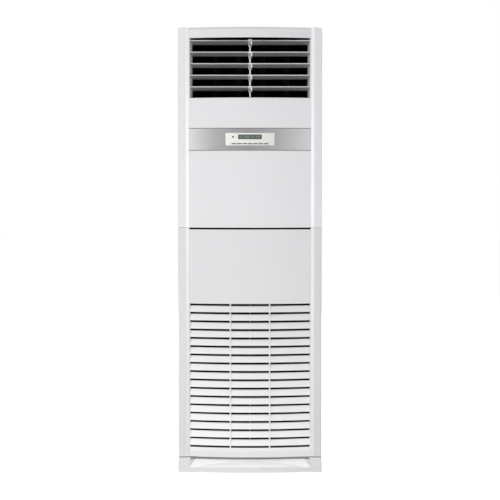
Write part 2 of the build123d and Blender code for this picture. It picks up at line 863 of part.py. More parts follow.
# ---------------------------------------------------------------- display
def plate_layer(front, thick, outline):
    """A slice parallel to the bulge, cut to an outline seen from the front."""
    low, high = plate_low - past, plate_high + past
    slice_angle = degrees(asin((plate_half_width + 4 * past) / bulge_radius))
    layer = bulged(side_face((front, low), (front + thick, low), (front + thick, high), (front, high)),
                   slice_angle)
    return layer & extrude(Plane.XZ * outline, amount=depth, both=True)


def slot_outline(x, z, width, tall, corner):
    """A rounded outline about a point of the front."""
    return Pos(x, z) * RectangleRounded(width, tall, corner)


def key_xs():
    return [(i - (key_count - 1) / 2) * key_pitch for i in range(key_count)]


def key_outline(x, grow):
    return slot_outline(x, key_height, key_width + 2 * grow, key_tall + 2 * grow, key_tall * 0.44 + grow)


def window_outline(inset):
    return slot_outline(0, (window_low + window_high) / 2, 2 * (window_half_width - inset),
                        window_height - 2 * inset, window_corner - inset)


def receiver_outline(inset):
    return Pos(receiver_x, receiver_height) * Circle(receiver_radius - inset)


def make_display_plate():
    """White plate over the silver band, with its window, receiver hole, key slots and posts."""
    outline = slot_outline(0, plate_low + plate_height / 2, 2 * plate_half_width, plate_height, plate_corner)
    plate = plate_layer(plate_y, plate_thickness, outline)
    cuts = [window_outline(0.0), receiver_outline(0.0)] + [key_outline(x, key_play) for x in key_xs()]
    for cut in cuts:
        plate -= extrude(Plane.XZ * cut, amount=depth, both=True)
    post_x = plate_half_width - post_set_x
    start = plate_y + plate_thickness + bulge_drop(post_x) - root
    for x in (-post_x, post_x):
        for z in (plate_low + post_set_z, plate_high - post_set_z):
            plate += rod((x, start, z), (0, 1, 0), post_radius, board_y - start)
    return plate


def make_lcd_window():
    return plate_layer(plate_y + window_set, plate_thickness - window_set, window_outline(window_gap))


def make_ir_window():
    """Receiver lens: a proud cap on a short bar."""
    front = plate_y - receiver_proud
    outline = receiver_outline(window_gap)
    start = front + bulge_drop(receiver_x) + plate_thickness
    centre = (receiver_x, start, receiver_height)
    bar = rod(centre, (0, 1, 0), receiver_radius - window_gap, receiver_proud + past)
    return plate_layer(front, plate_thickness + receiver_proud, outline) + bar


def make_key(x):
    """One key: cap through the plate, flange behind it, stem towards its switch."""
    back = plate_y + plate_thickness
    cap = plate_layer(plate_y - key_proud, key_proud + plate_thickness + key_flange, key_outline(x, 0.0))
    flange = plate_layer(back + plate_seat, key_flange, key_outline(x, key_flange_lap))
    stem_y = back + bulge_drop(x) + key_flange / 2
    switch_y = board_y - switch_height - switch_gap
    stem = rod((x, stem_y, key_height), (0, 1, 0), key_stem_radius, switch_y - key_travel - stem_y)
    return cap + flange + stem


def make_display_board():
    """Board behind the plate with its display cell, key switches and receiver can."""
    half = plate_half_width - board_margin
    board = box(-half, half, board_y, board_y + board_thickness, plate_low + plate_shelf,
                plate_high - plate_shelf)
    cell_y = plate_y + plate_thickness + cell_gap
    board += box(-cell_half_width, cell_half_width, cell_y, board_y + root, window_low + cell_margin,
                 window_high - cell_margin)
    for x in key_xs():
        board += box(x - switch_half, x + switch_half, board_y - switch_height, board_y + root,
                     key_height - switch_half, key_height + switch_half)
    can_y = plate_y + plate_thickness + bulge_drop(receiver_x) + past + switch_gap
    return board + box(receiver_x - switch_half, receiver_x + switch_half, can_y, board_y + root,
                       receiver_height - switch_half, receiver_height + switch_half)


# ---------------------------------------------------------------- outlet louvre
def pivot_height(index):
    return first_pivot - index * blade_pitch


def blade_place(index):
    return Pos(0, blade_pivot_y, pivot_height(index)) * Rot(-blade_tilt, 0, 0)


def make_blade(index):
    """A louvre blade: nosed section, tapered ends, end pins, link lug with its headed pin."""
    c, n, r = blade_reach, blade_nose, blade_tail
    section = side_outline(
        ThreePointArc((n - c, -n), (-c, 0), (n - c, n)),
        Line((n - c, n), (c - r, r)),
        ThreePointArc((c - r, r), (c, 0), (c - r, -r)),
        Line((c - r, -r), (n - c, -n)),
    )
    closed_y = blade_pivot_y - c * cos(radians(blade_down))
    front_half = cheek_x(closed_y) - blade_end_gap
    rear_half = cheek_x(blade_pivot_y + c) - blade_end_gap
    blade = Pos(-front_half, 0, 0) * extrude(section, amount=2 * front_half)
    plan = plan_face((-front_half, -c), (front_half, -c), (rear_half, c), (-rear_half, c))
    blade &= extrude(plan, amount=c, both=True)
    pin_end = cheek_x(blade_pivot_y) + cheek_thickness + blade_pin_reach
    pin_start = (front_half + rear_half) / 2 - blade_pin_root
    for side in (-1, 1):
        blade += rod((side * pin_start, 0, 0), (side, 0, 0), blade_pin_radius, pin_end - pin_start)
    nose, hang = -link_lug_nose, -link_lug_depth
    lug = side_face((nose, -r), (nose, hang), (link_arm, -link_boss_radius), (link_arm, link_boss_radius),
                    (c - link_boss_radius, 0.0))
    lug = fillet(lug.vertices().sort_by_distance((0, nose, hang))[0], link_lug_round)
    lug = lug + Plane.YZ * Pos(link_arm, 0) * Circle(link_boss_radius)
    blade += Pos(link_lug_x, 0, 0) * extrude(lug, amount=link_lug_width)
    head_x = -rod_half_width - link_head_gap
    pin = rod((link_lug_x + root, link_arm, 0), (-1, 0, 0), link_pin_radius,
              link_lug_x + root - head_x + link_head_width / 2)
    head = rod((head_x, link_arm, 0), (-1, 0, 0), link_head_radius, link_head_width)
    blade = blade + pin + head
    if index == 0:
        blade += Plane.XZ.offset(c - n) * Pos(0, n) * extrude(tab_face(), amount=tab_thickness)
    return blade_place(index) * blade


def tab_face():
    """Low arched finger tab."""
    half = tab_width / 2
    arc = ThreePointArc((-half, -root), (0, tab_rise), (half, -root))
    return make_face([arc, Line((half, -root), (-half, -root))])


def make_link_rod():
    """Vertical rod behind the blades, with an eye at each blade's link pin."""
    dy, dz = turned(link_arm, 0, -blade_tilt)
    y = blade_pivot_y + dy
    heights = [pivot_height(i) + dz for i in range(blade_count)]
    half = rod_half_width
    bar = box(-half, half, y - rod_thickness / 2, y + rod_thickness / 2, heights[-1] - rod_foot,
              heights[0] + rod_tail)
    for z in heights:
        bar += rod((-half, y, z), (1, 0, 0), rod_eye_radius, 2 * half)
    for z in heights:
        bar -= rod((-half - past, y, z), (1, 0, 0), link_pin_radius + run_gap, 2 * (half + past))
    return bar


def make_cheek():
    """Right side plate of the outlet, with the blades' bearing holes."""
    plan = plan_face((cheek_front_x, cheek_front_y), (cheek_front_x + cheek_thickness, cheek_front_y),
                     (cheek_rear_x + cheek_thickness, cheek_rear_y), (cheek_rear_x, cheek_rear_y))
    low = sill_height + seat_gap
    cheek = extrude(Pos(0, 0, low) * plan, amount=head_height - seat_gap - low)
    start = cheek_rear_x - past
    length = cheek_taper + cheek_thickness + 2 * past
    for i in range(blade_count):
        cheek -= rod((start, blade_pivot_y, pivot_height(i)), (1, 0, 0), blade_pin_radius + run_gap, length)
    return cheek


# ---------------------------------------------------------------- duct and vanes
def vane_xs():
    return [(i - (vane_count - 1) / 2) * vane_pitch for i in range(vane_count)]


def upright_hole(x, radius, z):
    """Cut for an upright pin of the vanes' row through a wall near a height."""
    return rod((x, vane_y, z - 2 * past), (0, 0, 1), radius + run_gap, 4 * past)


def make_duct():
    """Turning duct: roof that bends down behind, floor under the vanes, side walls."""
    t = moulding
    half = duct_half_width
    front = cheek_front_y + duct_front_gap
    back = rear_panel_y - duct_rear_gap - t
    join = back - duct_turn
    bend = duct_roof - duct_turn
    shell = side_outline(
        Line((front, duct_roof), (join, duct_roof)),
        RadiusArc((join, duct_roof), (back, bend), duct_turn),
        Polyline((back, bend), (back, duct_foot), (back + t, duct_foot), (back + t, bend)),
        RadiusArc((back + t, bend), (join, duct_roof + t), -(duct_turn + t)),
        Polyline((join, duct_roof + t), (front, duct_roof + t), (front, duct_roof)),
    )
    duct = Pos(-half - t, 0, 0) * extrude(shell, amount=2 * (half + t))
    apron = box(-half - t, half + t, front_y, front + root, duct_roof, duct_roof + t)
    duct += apron & (Pos(0, bulge_y, duct_roof) * Cylinder(bulge_radius - moulding - seat_gap, 4 * past))
    floor_end = front + duct_floor_length
    duct += box(-half - t, half + t, front, floor_end, duct_floor - t, duct_floor)
    duct += box(-half - t, half + t, floor_end - t, floor_end, duct_foot, duct_floor)
    wall_front = cheek_rear_y + duct_wall_gap
    wall = side_outline(
        Line((wall_front, duct_roof + t), (join, duct_roof + t)),
        RadiusArc((join, duct_roof + t), (back + t, bend), duct_turn + t),
        Polyline((back + t, bend), (back + t, duct_foot), (floor_end - t, duct_foot),
                 (floor_end - t, duct_floor - t), (wall_front, duct_floor - t), (wall_front, duct_roof + t)),
    )
    side = Pos(half, 0, 0) * extrude(wall, amount=t)
    duct = duct + side + mirrored(side)
    for x in vane_xs():
        duct -= upright_hole(x, vane_pin_radius, duct_floor)
        duct -= upright_hole(x, vane_pin_radius, duct_roof)
    return duct - upright_hole(crank_x, crank_shaft_radius, duct_floor)


def arm_offset():
    """From a vane's pivot to its link pin, as the vanes stand."""
    a = radians(vane_yaw)
    return -vane_arm * sin(a), vane_arm * cos(a)


def make_vane(x):
    """A swing vane: plate on two pivot pins, with a link pin under its rear half."""
    c = vane_chord / 2
    t = vane_thickness / 2
    plan = make_face([
        ThreePointArc((-t, t - c), (0, -c), (t, t - c)),
        Line((t, t - c), (t, c - t)),
        ThreePointArc((t, c - t), (0, c), (-t, c - t)),
        Line((-t, c - t), (-t, t - c)),
    ])
    tall = vane_high - vane_low
    pin_low = duct_floor - moulding + rest_gap
    pin_high = duct_roof + moulding - rest_gap
    link_low = link_bar_low - link_pin_proud
    vane = extrude(Pos(0, 0, vane_low) * plan, amount=tall)
    vane += rod((0, 0, vane_low), (0, 0, 1), vane_stem_radius, tall)
    vane += rod((0, 0, pin_low), (0, 0, 1), vane_pin_radius, pin_high - pin_low)
    vane += rod((0, vane_arm, vane_low - link_pin_proud), (0, 0, 1), vane_boss_radius, vane_boss_height)
    vane += rod((0, vane_arm, link_low), (0, 0, 1), vane_link_pin_radius, vane_low + root - link_low)
    return Pos(x, vane_y, 0) * Rot(0, 0, vane_yaw) * vane


def make_link_bar():
    """Flat bar under the vanes, from the first link pin to the crank pin."""
    dx, dy = arm_offset()
    xs = [x + dx for x in vane_xs()] + [crank_x + dx]
    y = vane_y + dy
    length = xs[-1] - xs[0] + 2 * link_bar_half_width
    plan = Pos((xs[0] + xs[-1]) / 2, y) * SlotOverall(length, 2 * link_bar_half_width)
    bar = extrude(Pos(0, 0, link_bar_low) * plan, amount=link_bar_thickness)
    for x in xs:
        bar -= rod((x, y, link_bar_low - past), (0, 0, 1), vane_link_pin_radius + run_gap,
                   link_bar_thickness + 2 * past)
    return bar


def make_crank():
    """Swing crank: shaft down through the duct floor, arm, pin up through the link bar."""
    top = link_bar_low - crank_gap
    low = top - crank_thickness
    arm = Pos(0, vane_arm / 2) * Rot(0, 0, 90) * SlotOverall(vane_arm + 2 * crank_radius, 2 * crank_radius)
    crank = extrude(Pos(0, 0, low) * arm, amount=crank_thickness)
    shaft_low = duct_floor - moulding - swing_motor_drop - crank_shaft_grip
    pin_top = link_bar_low + link_bar_thickness + link_pin_proud
    crank += rod((0, 0, shaft_low), (0, 0, 1), crank_shaft_radius, low + root - shaft_low)
    crank += rod((0, vane_arm, top - root), (0, 0, 1), vane_link_pin_radius, pin_top - top + root)
    return Pos(crank_x, vane_y, 0) * Rot(0, 0, vane_yaw) * crank


def make_swing_motor():
    """Geared swing motor hung under the duct floor by two ears."""
    body_top = duct_floor - moulding - swing_motor_drop
    low = body_top - swing_motor_height
    motor = rod((0, 0, low), (0, 0, 1), swing_motor_radius, swing_motor_height)
    motor = chamfer(motor.edges().group_by(Axis.Z)[0], sheet)
    ears = SlotOverall(2 * (swing_motor_radius + motor_ear_reach), motor_ear_width)
    motor += extrude(Pos(0, 0, body_top - sheet) * ears, amount=sheet)
    boss_x = swing_motor_radius + motor_ear_reach - motor_ear_width / 2
    for x in (-boss_x, boss_x):
        motor += rod((x, 0, body_top - root), (0, 0, 1), motor_ear_boss, swing_motor_drop + root)
    hole_low = body_top - crank_shaft_grip - link_pin_proud
    motor -= rod((0, 0, hole_low), (0, 0, 1), crank_shaft_radius + run_gap, body_top - hole_low + past)
    return Pos(crank_x, vane_y, 0) * motor


# ---------------------------------------------------------------- intake grille and filters
def make_grille():
    """Bulged intake panel: plain head, a ladder of leaning slats, ribs, filter channels, pegs."""
    y, t = front_y, moulding
    half_slot = slot_gap / 2
    head_low = first_slot + half_slot
    top, fold = grille_top, y + grille_head_fold
    head = side_face((y, head_low), (y, top), (fold, top), (fold, top - t), (y + t, top - t),
                     (y + t, head_low))
    pieces = [squared(head)]
    lean, wall = slat_set, slat_thickness
    for i in range(slot_count - 1):
        high = first_slot - i * slot_pitch - half_slot
        low = high - slot_pitch + slot_gap
        pieces.append(bulged(side_face((y, low), (y + lean, high), (y + lean + wall, high), (y + wall, low))))
    last = first_slot - (slot_count - 1) * slot_pitch - half_slot
    edge, shoulder, foot = y + rail_edge_set, last - rail_edge_drop, grille_foot
    rail = side_face((edge, last), (y, shoulder), (y, foot), (y + rail_fold, foot), (y + rail_fold, foot + t),
                     (y + t, foot + t), (y + t, shoulder - root), (edge + wall, last))
    pieces.append(squared(rail))
    for x in (-rib_x, rib_x):
        rib_front = y + bulge_drop(x) + rib_front_set
        pieces.append(box(x - rib_width / 2, x + rib_width / 2, rib_front, rib_front + rib_depth,
                          foot + t - root, first_slot + rib_lap))
    reach = panel_half_width
    side = box(reach - grille_wall, reach, panel_edge_y + grille_wall_set, panel_edge_y + grille_wall_depth,
               foot, top)
    grille = fuse(pieces + [side, mirrored(side)] + filter_channels())
    for side in (-1, 1):
        start = (side * (reach - root), y + peg_set, peg_height)
        grille += rod(start, (side, 0, 0), peg_radius, peg_length + root)
    return grille


def filter_channels():
    """Rails that hold the filters behind the slats."""
    w = channel_wall
    near = filter_y - filter_play
    far = filter_y + filter_thickness + filter_play
    reach = panel_half_width - root
    low = filter_low - seat_gap
    high = filter_high + filter_lift + root

    def rail(floor_low, lip_low, lip_high):
        plate = box(-reach, reach, near - w, far + w, floor_low, floor_low + w)
        front = box(-reach, reach, near - w, near, lip_low, lip_high)
        back = box(-reach, reach, far, far + w, lip_low, lip_high)
        return [plate, front, back]

    spine = box(-w / 2, w / 2, near - w, far + w, low - w, high + w)
    stays = [box(x - rib_width / 2, x + rib_width / 2, front_y + slat_set, near, z, z + stay_height)
             for x in (-rib_x, rib_x) for z in (low - w, high + w - stay_height)]
    lower = rail(low - w, low - w, low + channel_lip)
    upper = rail(high, high - channel_top_lip, high + w)
    return lower + upper + [spine] + stays


def make_filter():
    """The right air filter: rim, cross bars and a fine mesh."""
    x0 = channel_wall / 2 + filter_play
    x1 = panel_half_width - grille_wall - filter_play
    y0, y1 = filter_y, filter_y + filter_thickness
    rim, half_bar = filter_rim, filter_bar / 2
    frame = box(x0, x1, y0, y1, filter_low, filter_high)
    frame -= box(x0 + rim, x1 - rim, y0 - past, y1 + past, filter_low + rim, filter_high - rim)
    middle = (x0 + x1) / 2
    frame += box(middle - half_bar, middle + half_bar, y0 + root, y1 - root, filter_low + root,
                 filter_high - root)
    for i in range(1, filter_row_count):
        z = filter_low + (filter_high - filter_low) * i / filter_row_count
        frame += box(x0 + root, x1 - root, y0 + root, y1 - root, z - half_bar, z + half_bar)
    mesh_y = (y0 + y1 - filter_mesh) / 2
    return frame + box(x0 + root, x1 - root, mesh_y, mesh_y + filter_mesh, filter_low + root,
                       filter_high - root)


# ---------------------------------------------------------------- blower
def scroll_face(grow):
    """Scroll outline in the XZ plane: three quarter arcs of growing radius and a straight outlet."""
    x0, z0, s = wheel_x, wheel_height, scroll_step
    r0 = scroll_start + grow
    r1, r2 = r0 + s, r0 + 2 * s
    k = 0.5 ** 0.5
    right = x0 + s + r2
    tongue = x0 + tongue_x - grow
    tongue_z = z0 + r0 + tongue_radius
    top = deck_height
    edges = [
        ThreePointArc((x0, z0 + r0), (x0 - r0 * k, z0 + r0 * k), (x0 - r0, z0)),
        ThreePointArc((x0 - r0, z0), (x0 + s - r1 * k, z0 - r1 * k), (x0 + s, z0 - r1)),
        ThreePointArc((x0 + s, z0 - r1), (x0 + s + r2 * k, z0 + s - r2 * k), (right, z0 + s)),
        Polyline((right, z0 + s), (right, top), (tongue, top), (tongue, tongue_z), (x0, z0 + r0)),
    ]
    return Plane.XZ * make_face(edges)


def make_scroll():
    """Blower housing: wrapped scroll, front plate with a bell-mouthed inlet, back plate."""
    t = scroll_sheet
    y0, y1 = scroll_front_y, motor_face_y
    outer = Pos(0, y1, 0) * extrude(scroll_face(t), amount=y1 - y0)
    inner = Pos(0, y1 - t, 0) * extrude(scroll_face(0.0), amount=y1 - y0 - 2 * t)
    open_top = box(wheel_x + tongue_x, scroll_right_x, y0 + t, y1 - t, deck_height - 2 * past,
                   deck_height + past)
    mouth = inlet_radius + inlet_bell
    housing = outer - inner - open_top
    housing -= rod((wheel_x, y0 - past, wheel_height), (0, 1, 0), mouth, inlet_bell)
    r, k = inlet_radius, inlet_bell * (1 - 0.5 ** 0.5)
    throat, end = y0 + inlet_bell, y0 + inlet_bell + inlet_throat
    flange = mouth + inlet_flange
    bell = side_outline(
        Line((y0, flange), (y0, mouth)),
        ThreePointArc((y0, mouth), (y0 + k, r + k), (throat, r)),
        Polyline((throat, r), (end, r), (end, r + t), (throat, r + t)),
        ThreePointArc((throat, r + t), (y0 + k + t * 0.7, r + k + t * 0.7), (y0 + t, mouth)),
        Polyline((y0 + t, mouth), (y0 + t, flange), (y0, flange)),
    )
    housing += Pos(wheel_x, 0, wheel_height) * revolve(bell, axis=Axis.Y)
    neck_start = (wheel_x, y1 - 2 * past, wheel_height)
    return housing - rod(neck_start, (0, 1, 0), motor_neck + motor_neck_gap, 4 * past)


def wheel_blade():
    """One forward-curved blade at the wheel's right side."""
    inner_radius, outer_radius = wheel_eye, wheel_radius - root / 2
    lead = radians(wheel_blade_lead)
    middle = (inner_radius + outer_radius) / 2 + wheel_blade_camber
    curve = ThreePointArc((inner_radius, 0), (middle * cos(lead * 0.15), middle * sin(lead * 0.15)),
                          (outer_radius * cos(lead), outer_radius * sin(lead)))
    strip = make_face(trace_outline(curve, wheel_blade_thickness))
    return Pos(0, wheel_rear_y - root, 0) * extrude(Plane.XZ * strip, amount=wheel_width - 2 * root)


def make_wheel():
    """Forward-curved blower wheel: back disc, front ring, hub and a ring of curved blades."""
    front, rear = wheel_front_y, wheel_rear_y
    hub_front = rear - hub_length
    disc = rod((0, rear - wheel_disc, 0), (0, 1, 0), wheel_radius, wheel_disc)
    ring = rod((0, front, 0), (0, 1, 0), wheel_radius, wheel_ring)
    ring -= rod((0, front - past, 0), (0, 1, 0), wheel_radius - wheel_ring_width, wheel_ring + 2 * past)
    hub = rod((0, hub_front, 0), (0, 1, 0), hub_radius, hub_length)
    web = side_face((hub_front + hub_web_wall, hub_radius - root), (rear - wheel_disc, hub_web_radius),
                    (rear, hub_web_radius), (hub_front + 2 * hub_web_wall, hub_radius - root))
    blade = wheel_blade()
    turns = [i * 360 / wheel_blade_count for i in range(wheel_blade_count)]
    wheel = fuse([disc, ring, hub, revolve(web, axis=Axis.Y)] + [blade.rotate(Axis.Y, a) for a in turns])
    wheel -= rod((0, front, 0), (0, 1, 0), shaft_radius + run_gap / 2, wheel_width + past)
    return Pos(wheel_x, 0, wheel_height) * wheel


def make_shaft():
    start = wheel_rear_y - hub_length - shaft_nose
    return rod((wheel_x, start, wheel_height), (0, 1, 0), shaft_radius, motor_face_y + shaft_grip - start)


def make_motor():
    """Fan motor on the back plate: stepped can with a flange, neck and vent ribs."""
    y = motor_face_y
    neck, flange = y - motor_neck_length, y + motor_flange
    shoulder = flange + motor_shoulder
    cap, end = y + motor_length - motor_cap_depth, y + motor_length
    profile = side_face((neck, 0), (neck, motor_neck), (y, motor_neck), (y, motor_flange_radius),
                        (flange, motor_flange_radius), (shoulder, motor_radius), (cap, motor_radius),
                        (end, motor_radius - motor_cap_bevel), (end, 0))
    can = revolve(profile, axis=Axis.Y)
    rib = box(motor_radius - motor_rib_proud, motor_radius + motor_rib_proud, shoulder + motor_rib_proud,
              cap - motor_rib_proud, -motor_rib_half, motor_rib_half)
    for i in range(motor_rib_count):
        can += rib.rotate(Axis.Y, i * 360 / motor_rib_count)
    bore_end = y + shaft_grip + root
    can -= rod((0, neck - past, 0), (0, 1, 0), shaft_radius + run_gap, bore_end - neck + past)
    return Pos(wheel_x, 0, wheel_height) * can


def make_fan_deck():
    """Deck over the blower: folded sheet with the scroll's opening and the pipes' notch."""
    front = pillar_rear_y + seat_gap + sheet
    rear = rear_panel_y - sheet - seat_gap
    low = deck_height + rest_gap
    high = low + sheet
    deck = box(-inner_half, inner_half, front, rear, low, high)
    for y in (front, rear - sheet):
        deck += box(-inner_half, inner_half, y, y + sheet, low - deck_fold, high)
    deck -= box(wheel_x + tongue_x + root, scroll_right_x - root, scroll_front_y + scroll_sheet,
                motor_face_y - scroll_sheet, low - past, high + past)
    deck -= box(drain_x - deck_notch_side, half_cabinet, pipe_line_y - deck_notch_front,
                pipe_line_y + deck_notch_rear, low - past, high + past)
    drain_start = (drain_x, drain_line_y, low - past)
    return deck - rod(drain_start, (0, 0, 1), drain_radius + 2 * root, 2 * past + sheet)


# ---------------------------------------------------------------- coil, drain and pipes
def coil_plane():
    """Plane of the coil's lower edge: X along the width, Z up the coil."""
    along = (0, coil_top_y - coil_foot_y, coil_top_height - coil_foot_height)
    return Plane(origin=(0, coil_foot_y, coil_foot_height), x_dir=(1, 0, 0), z_dir=along)


def make_coil_core():
    """Finned block of the evaporator."""
    pitch = (2 * coil_half_width - fin_thickness) / fin_count
    top, web = coil_thickness / 2, fin_web / 2
    upper = []
    for i in range(fin_count + 1):
        x0 = -coil_half_width + i * pitch
        x1 = x0 + fin_thickness
        upper += [] if i == 0 else [(x0, web)]
        upper += [(x0, top), (x1, top)]
        upper += [] if i == fin_count else [(x1, web)]
    lower = [(x, -y) for x, y in reversed(upper)]
    comb = make_face(Polyline(*upper, *lower, close=True))
    return extrude(coil_plane() * comb, amount=coil_length)


def make_end_plates():
    """Folded end plates of the coil, standing in the trough."""
    foot = coil_plane().offset(-end_plate_foot)
    length = coil_length + end_plate_foot
    width = coil_thickness + 2 * end_plate_margin
    plates = []
    for side in (-1, 1):
        inner_x = coil_half_width + end_plate_gap
        web = foot * Pos(side * (inner_x + end_plate / 2), 0) * Rectangle(end_plate, width)
        plate = extrude(web, amount=length)
        for lip_y in (-(width - end_plate) / 2, (width - end_plate) / 2):
            lip = Pos(side * (inner_x + end_plate_lip / 2), lip_y) * Rectangle(end_plate_lip, end_plate)
            plate += extrude(foot * lip, amount=length)
        plates.append(plate)
    return Compound(children=plates)


def make_bends():
    """Return bends on the left end of the coil."""
    plane = coil_plane()
    start = coil_half_width + end_plate_gap + end_plate + bend_gap
    turn = start + bend_reach
    bends = []
    for i in range(tube_row_count):
        along = coil_length * (i + 0.5) / tube_row_count
        row = -tube_row_offset if i % 2 else tube_row_offset
        low, high = along - bend_radius, along + bend_radius
        marks = [(start, low), (turn, low), (turn + bend_radius, along), (turn, high), (start, high)]
        a, b, crown, c, d = [plane.from_local_coords((-x, row, z)) for x, z in marks]
        path = Wire([Line(a, b), ThreePointArc(b, crown, c), Line(c, d)])
        bends.append(sweep(Plane(origin=a, z_dir=(-1, 0, 0)) * Circle(tube_radius), path=path))
    return Compound(children=bends)


def tube_along(points, radius, bend):
    """A round tube along straight runs and tangent bends."""
    path = FilletPolyline(*points, radius=bend)
    direction = Vector(*points[1]) - Vector(*points[0])
    return sweep(Plane(origin=points[0], z_dir=direction) * Circle(radius), path=path)


def flare_union(x, nut_radius):
    """Hexagon and threaded nut at the end of a pipe, on the pipe hole's axis height."""
    start = stub_end_y - union_length - union_nut
    outline = RegularPolygon(nut_radius + union_nut_lap, 6)
    hexagon = extrude(Plane(origin=(x, start, pipe_hole_height), z_dir=(0, 1, 0)) * outline, amount=union_nut)
    nut_start = (x, start + union_nut - root, pipe_hole_height)
    return hexagon + rod(nut_start, (0, 1, 0), nut_radius, union_length + root)


def make_pipework():
    """Gas and liquid pipes from the coil's right end down to their flare unions."""
    start_x = coil_half_width + end_plate_gap + end_plate + rest_gap
    hole_z = pipe_hole_height

    def run(y, port_z, turn_z, end_x):
        return [(start_x, y, port_z), (pipe_drop_x, y, port_z), (pipe_drop_x, y, turn_z), (end_x, y, hole_z),
                (end_x, stub_end_y, hole_z)]

    gas_x = pipe_hole_x + union_spacing / 2
    liquid_x = pipe_hole_x - union_spacing / 2
    gas_run = run(pipe_line_y, gas_port_height, hole_z + gas_turn_rise, gas_x)
    liquid_run = run(pipe_line_y + pipe_line_gap, gas_port_height + port_spacing, hole_z + liquid_turn_rise,
                     liquid_x)
    gas = tube_along(gas_run, gas_radius, gas_bend) + flare_union(gas_x, gas_nut_radius)
    liquid = tube_along(liquid_run, liquid_radius, liquid_bend) + flare_union(liquid_x, liquid_nut_radius)
    return Compound(children=[gas, liquid])


def make_trough():
    """Drain trough under the coil's lower edge, with a spigot at its right end."""
    y0 = front_y + trough_front_set
    y1 = y0 + trough_width
    z0, z1, w, draft = trough_low, trough_top, trough_wall, trough_draft
    half = trough_half_width
    outer = side_face((y0, z1), (y0 + draft, z0), (y1 - draft, z0), (y1, z1))
    inner = side_face((y0 + w, z1 + root), (y0 + draft + w, z0 + w), (y1 - draft - w, z0 + w),
                      (y1 - w, z1 + root))
    trough = Pos(-half, 0, 0) * extrude(outer, amount=2 * half)
    trough -= Pos(w - half, 0, 0) * extrude(inner, amount=2 * (half - w))
    spigot_low = z0 - drain_neck
    trough += rod((drain_x, drain_line_y, spigot_low), (0, 0, 1), drain_radius + w, drain_neck + root)
    trough -= rod((drain_x, drain_line_y, spigot_low - past), (0, 0, 1), drain_radius + 2 * run_gap,
                  drain_neck + 2 * past + w)
    foot_z = deck_height + rest_gap + sheet + rest_gap
    foot_y = draft + trough_foot_width / 2
    for x in (trough_foot_set - half, half - 2 * trough_foot_set):
        trough += box(x, x + trough_foot_width, y0 + foot_y, y1 - foot_y, foot_z, z0 + root)
    return trough


def make_drain_pipe():
    """Drain pipe from the trough down to the rear outlet."""
    end_y = rear_y - drain_end_set
    points = [(drain_x, drain_line_y, trough_low - root), (drain_x, drain_line_y, drain_height),
              (drain_x, end_y, drain_height)]
    path = FilletPolyline(*points, radius=drain_bend)
    plane = Plane(origin=points[0], z_dir=(0, 0, -1))
    collar_start = (drain_x, end_y - drain_spigot - drain_collar, drain_height)
    collar = rod(collar_start, (0, 1, 0), drain_radius + drain_collar_lap, drain_collar)
    bore = sweep(plane * Circle(drain_radius - drain_wall), path=path)
    return sweep(plane * Circle(drain_radius), path=path) + collar - bore


def make_grommet():
    """Grommet in the pipe hole of the rear panel."""
    inner, neck = grommet_inner_radius, pipe_hole_radius - seat_gap
    rim = pipe_hole_radius + grommet_lip
    front, back = rear_panel_y - seat_gap / 3, rear_panel_y + sheet + seat_gap / 3
    near, far = front - grommet_lip + seat_gap / 3, back + grommet_proud - seat_gap / 3
    outline = side_face((near, inner), (near, rim), (front, rim), (front, neck), (back, neck), (back, rim),
                        (far, rim), (far, inner))
    return Pos(pipe_hole_x, 0, pipe_hole_height) * revolve(outline, axis=Axis.Y)


# ---------------------------------------------------------------- electrics
def make_control_box():
    """Folded tray for the electrics, on two straps between the side panels."""
    left, right = box_x - box_half_width, box_x + box_half_width
    front, back = pillar_rear_y - box_front_lap, pillar_rear_y + box_depth
    t = sheet
    tray = box(left, right, front, back, box_low, box_high)
    strap_y = pillar_rear_y + seat_gap + t
    for z in (box_low + strap_set, box_high - strap_set - strap_height):
        tray += box(-inner_half, inner_half, strap_y, strap_y + t, z, z + strap_height)
    return tray - box(left + t, right - t, front - past, back - t, box_low + t, box_high - t)


def make_main_board():
    """Circuit board in the tray: spacers, transformer, relays and a smoothing can."""
    y = pillar_rear_y + box_depth - sheet - main_board_gap
    left = box_x - box_half_width + main_board_margin
    right = box_x + box_half_width - main_board_room
    low, high = box_low + main_board_margin, box_high - main_board_margin
    face = y + board_thickness / 3
    board = box(left, right, y, y + board_thickness, low, high)
    for x in (left + main_board_gap, right - main_board_gap):
        for z in (low + main_board_gap, high - main_board_gap):
            board += rod((x, y + root, z), (0, 1, 0), 2 * board_thickness, main_board_gap - root)
    x, width, z, tall, deep = relay_block
    relays = [(x + relay_pitch * i, width, z, tall, deep) for i in range(relay_count)]
    for x, width, z, tall, deep in [heat_sink_block, choke_block] + relays:
        board += box(left + x, left + x + width, y - deep, face, low + z, low + z + tall)
    drum = (right - smoothing_can_set, face, low + smoothing_can_rise)
    return board + rod(drum, (0, -1, 0), smoothing_can_radius, smoothing_can_length)


def make_capacitor():
    """Motor capacitor standing in the tray beside the board, with two tab terminals."""
    x = box_x + box_half_width - sheet - capacitor_radius - capacitor_gap
    y = pillar_rear_y + box_depth - sheet - capacitor_radius - seat_gap
    foot = box_low + sheet + rest_gap
    can = rod((x, y, foot), (0, 0, 1), capacitor_radius, capacitor_length)
    can = fillet(can.edges().group_by(Axis.Z)[-1], capacitor_radius * 0.15)
    top = foot + capacitor_length
    for dx in (-terminal_spacing / 2, terminal_spacing / 2):
        can += box(x + dx - root / 2, x + dx + root / 2, y - 3 * root, y + 3 * root, top - root,
                   top + terminal_length)
    return can


# ---------------------------------------------------------------- write every node
os.makedirs("parts", exist_ok=True)

save("base_pan", make_base_pan())
save("plinth_skirt", make_plinth())
side_panel = make_side_panel()
save("right_side_panel", side_panel)
save("left_side_panel", mirrored(side_panel))
save("rear_panel", make_rear_panel())
save("rear_screws", make_screws())
save("top_cover", make_top_cover())
save("mid_rail", make_mid_rail())

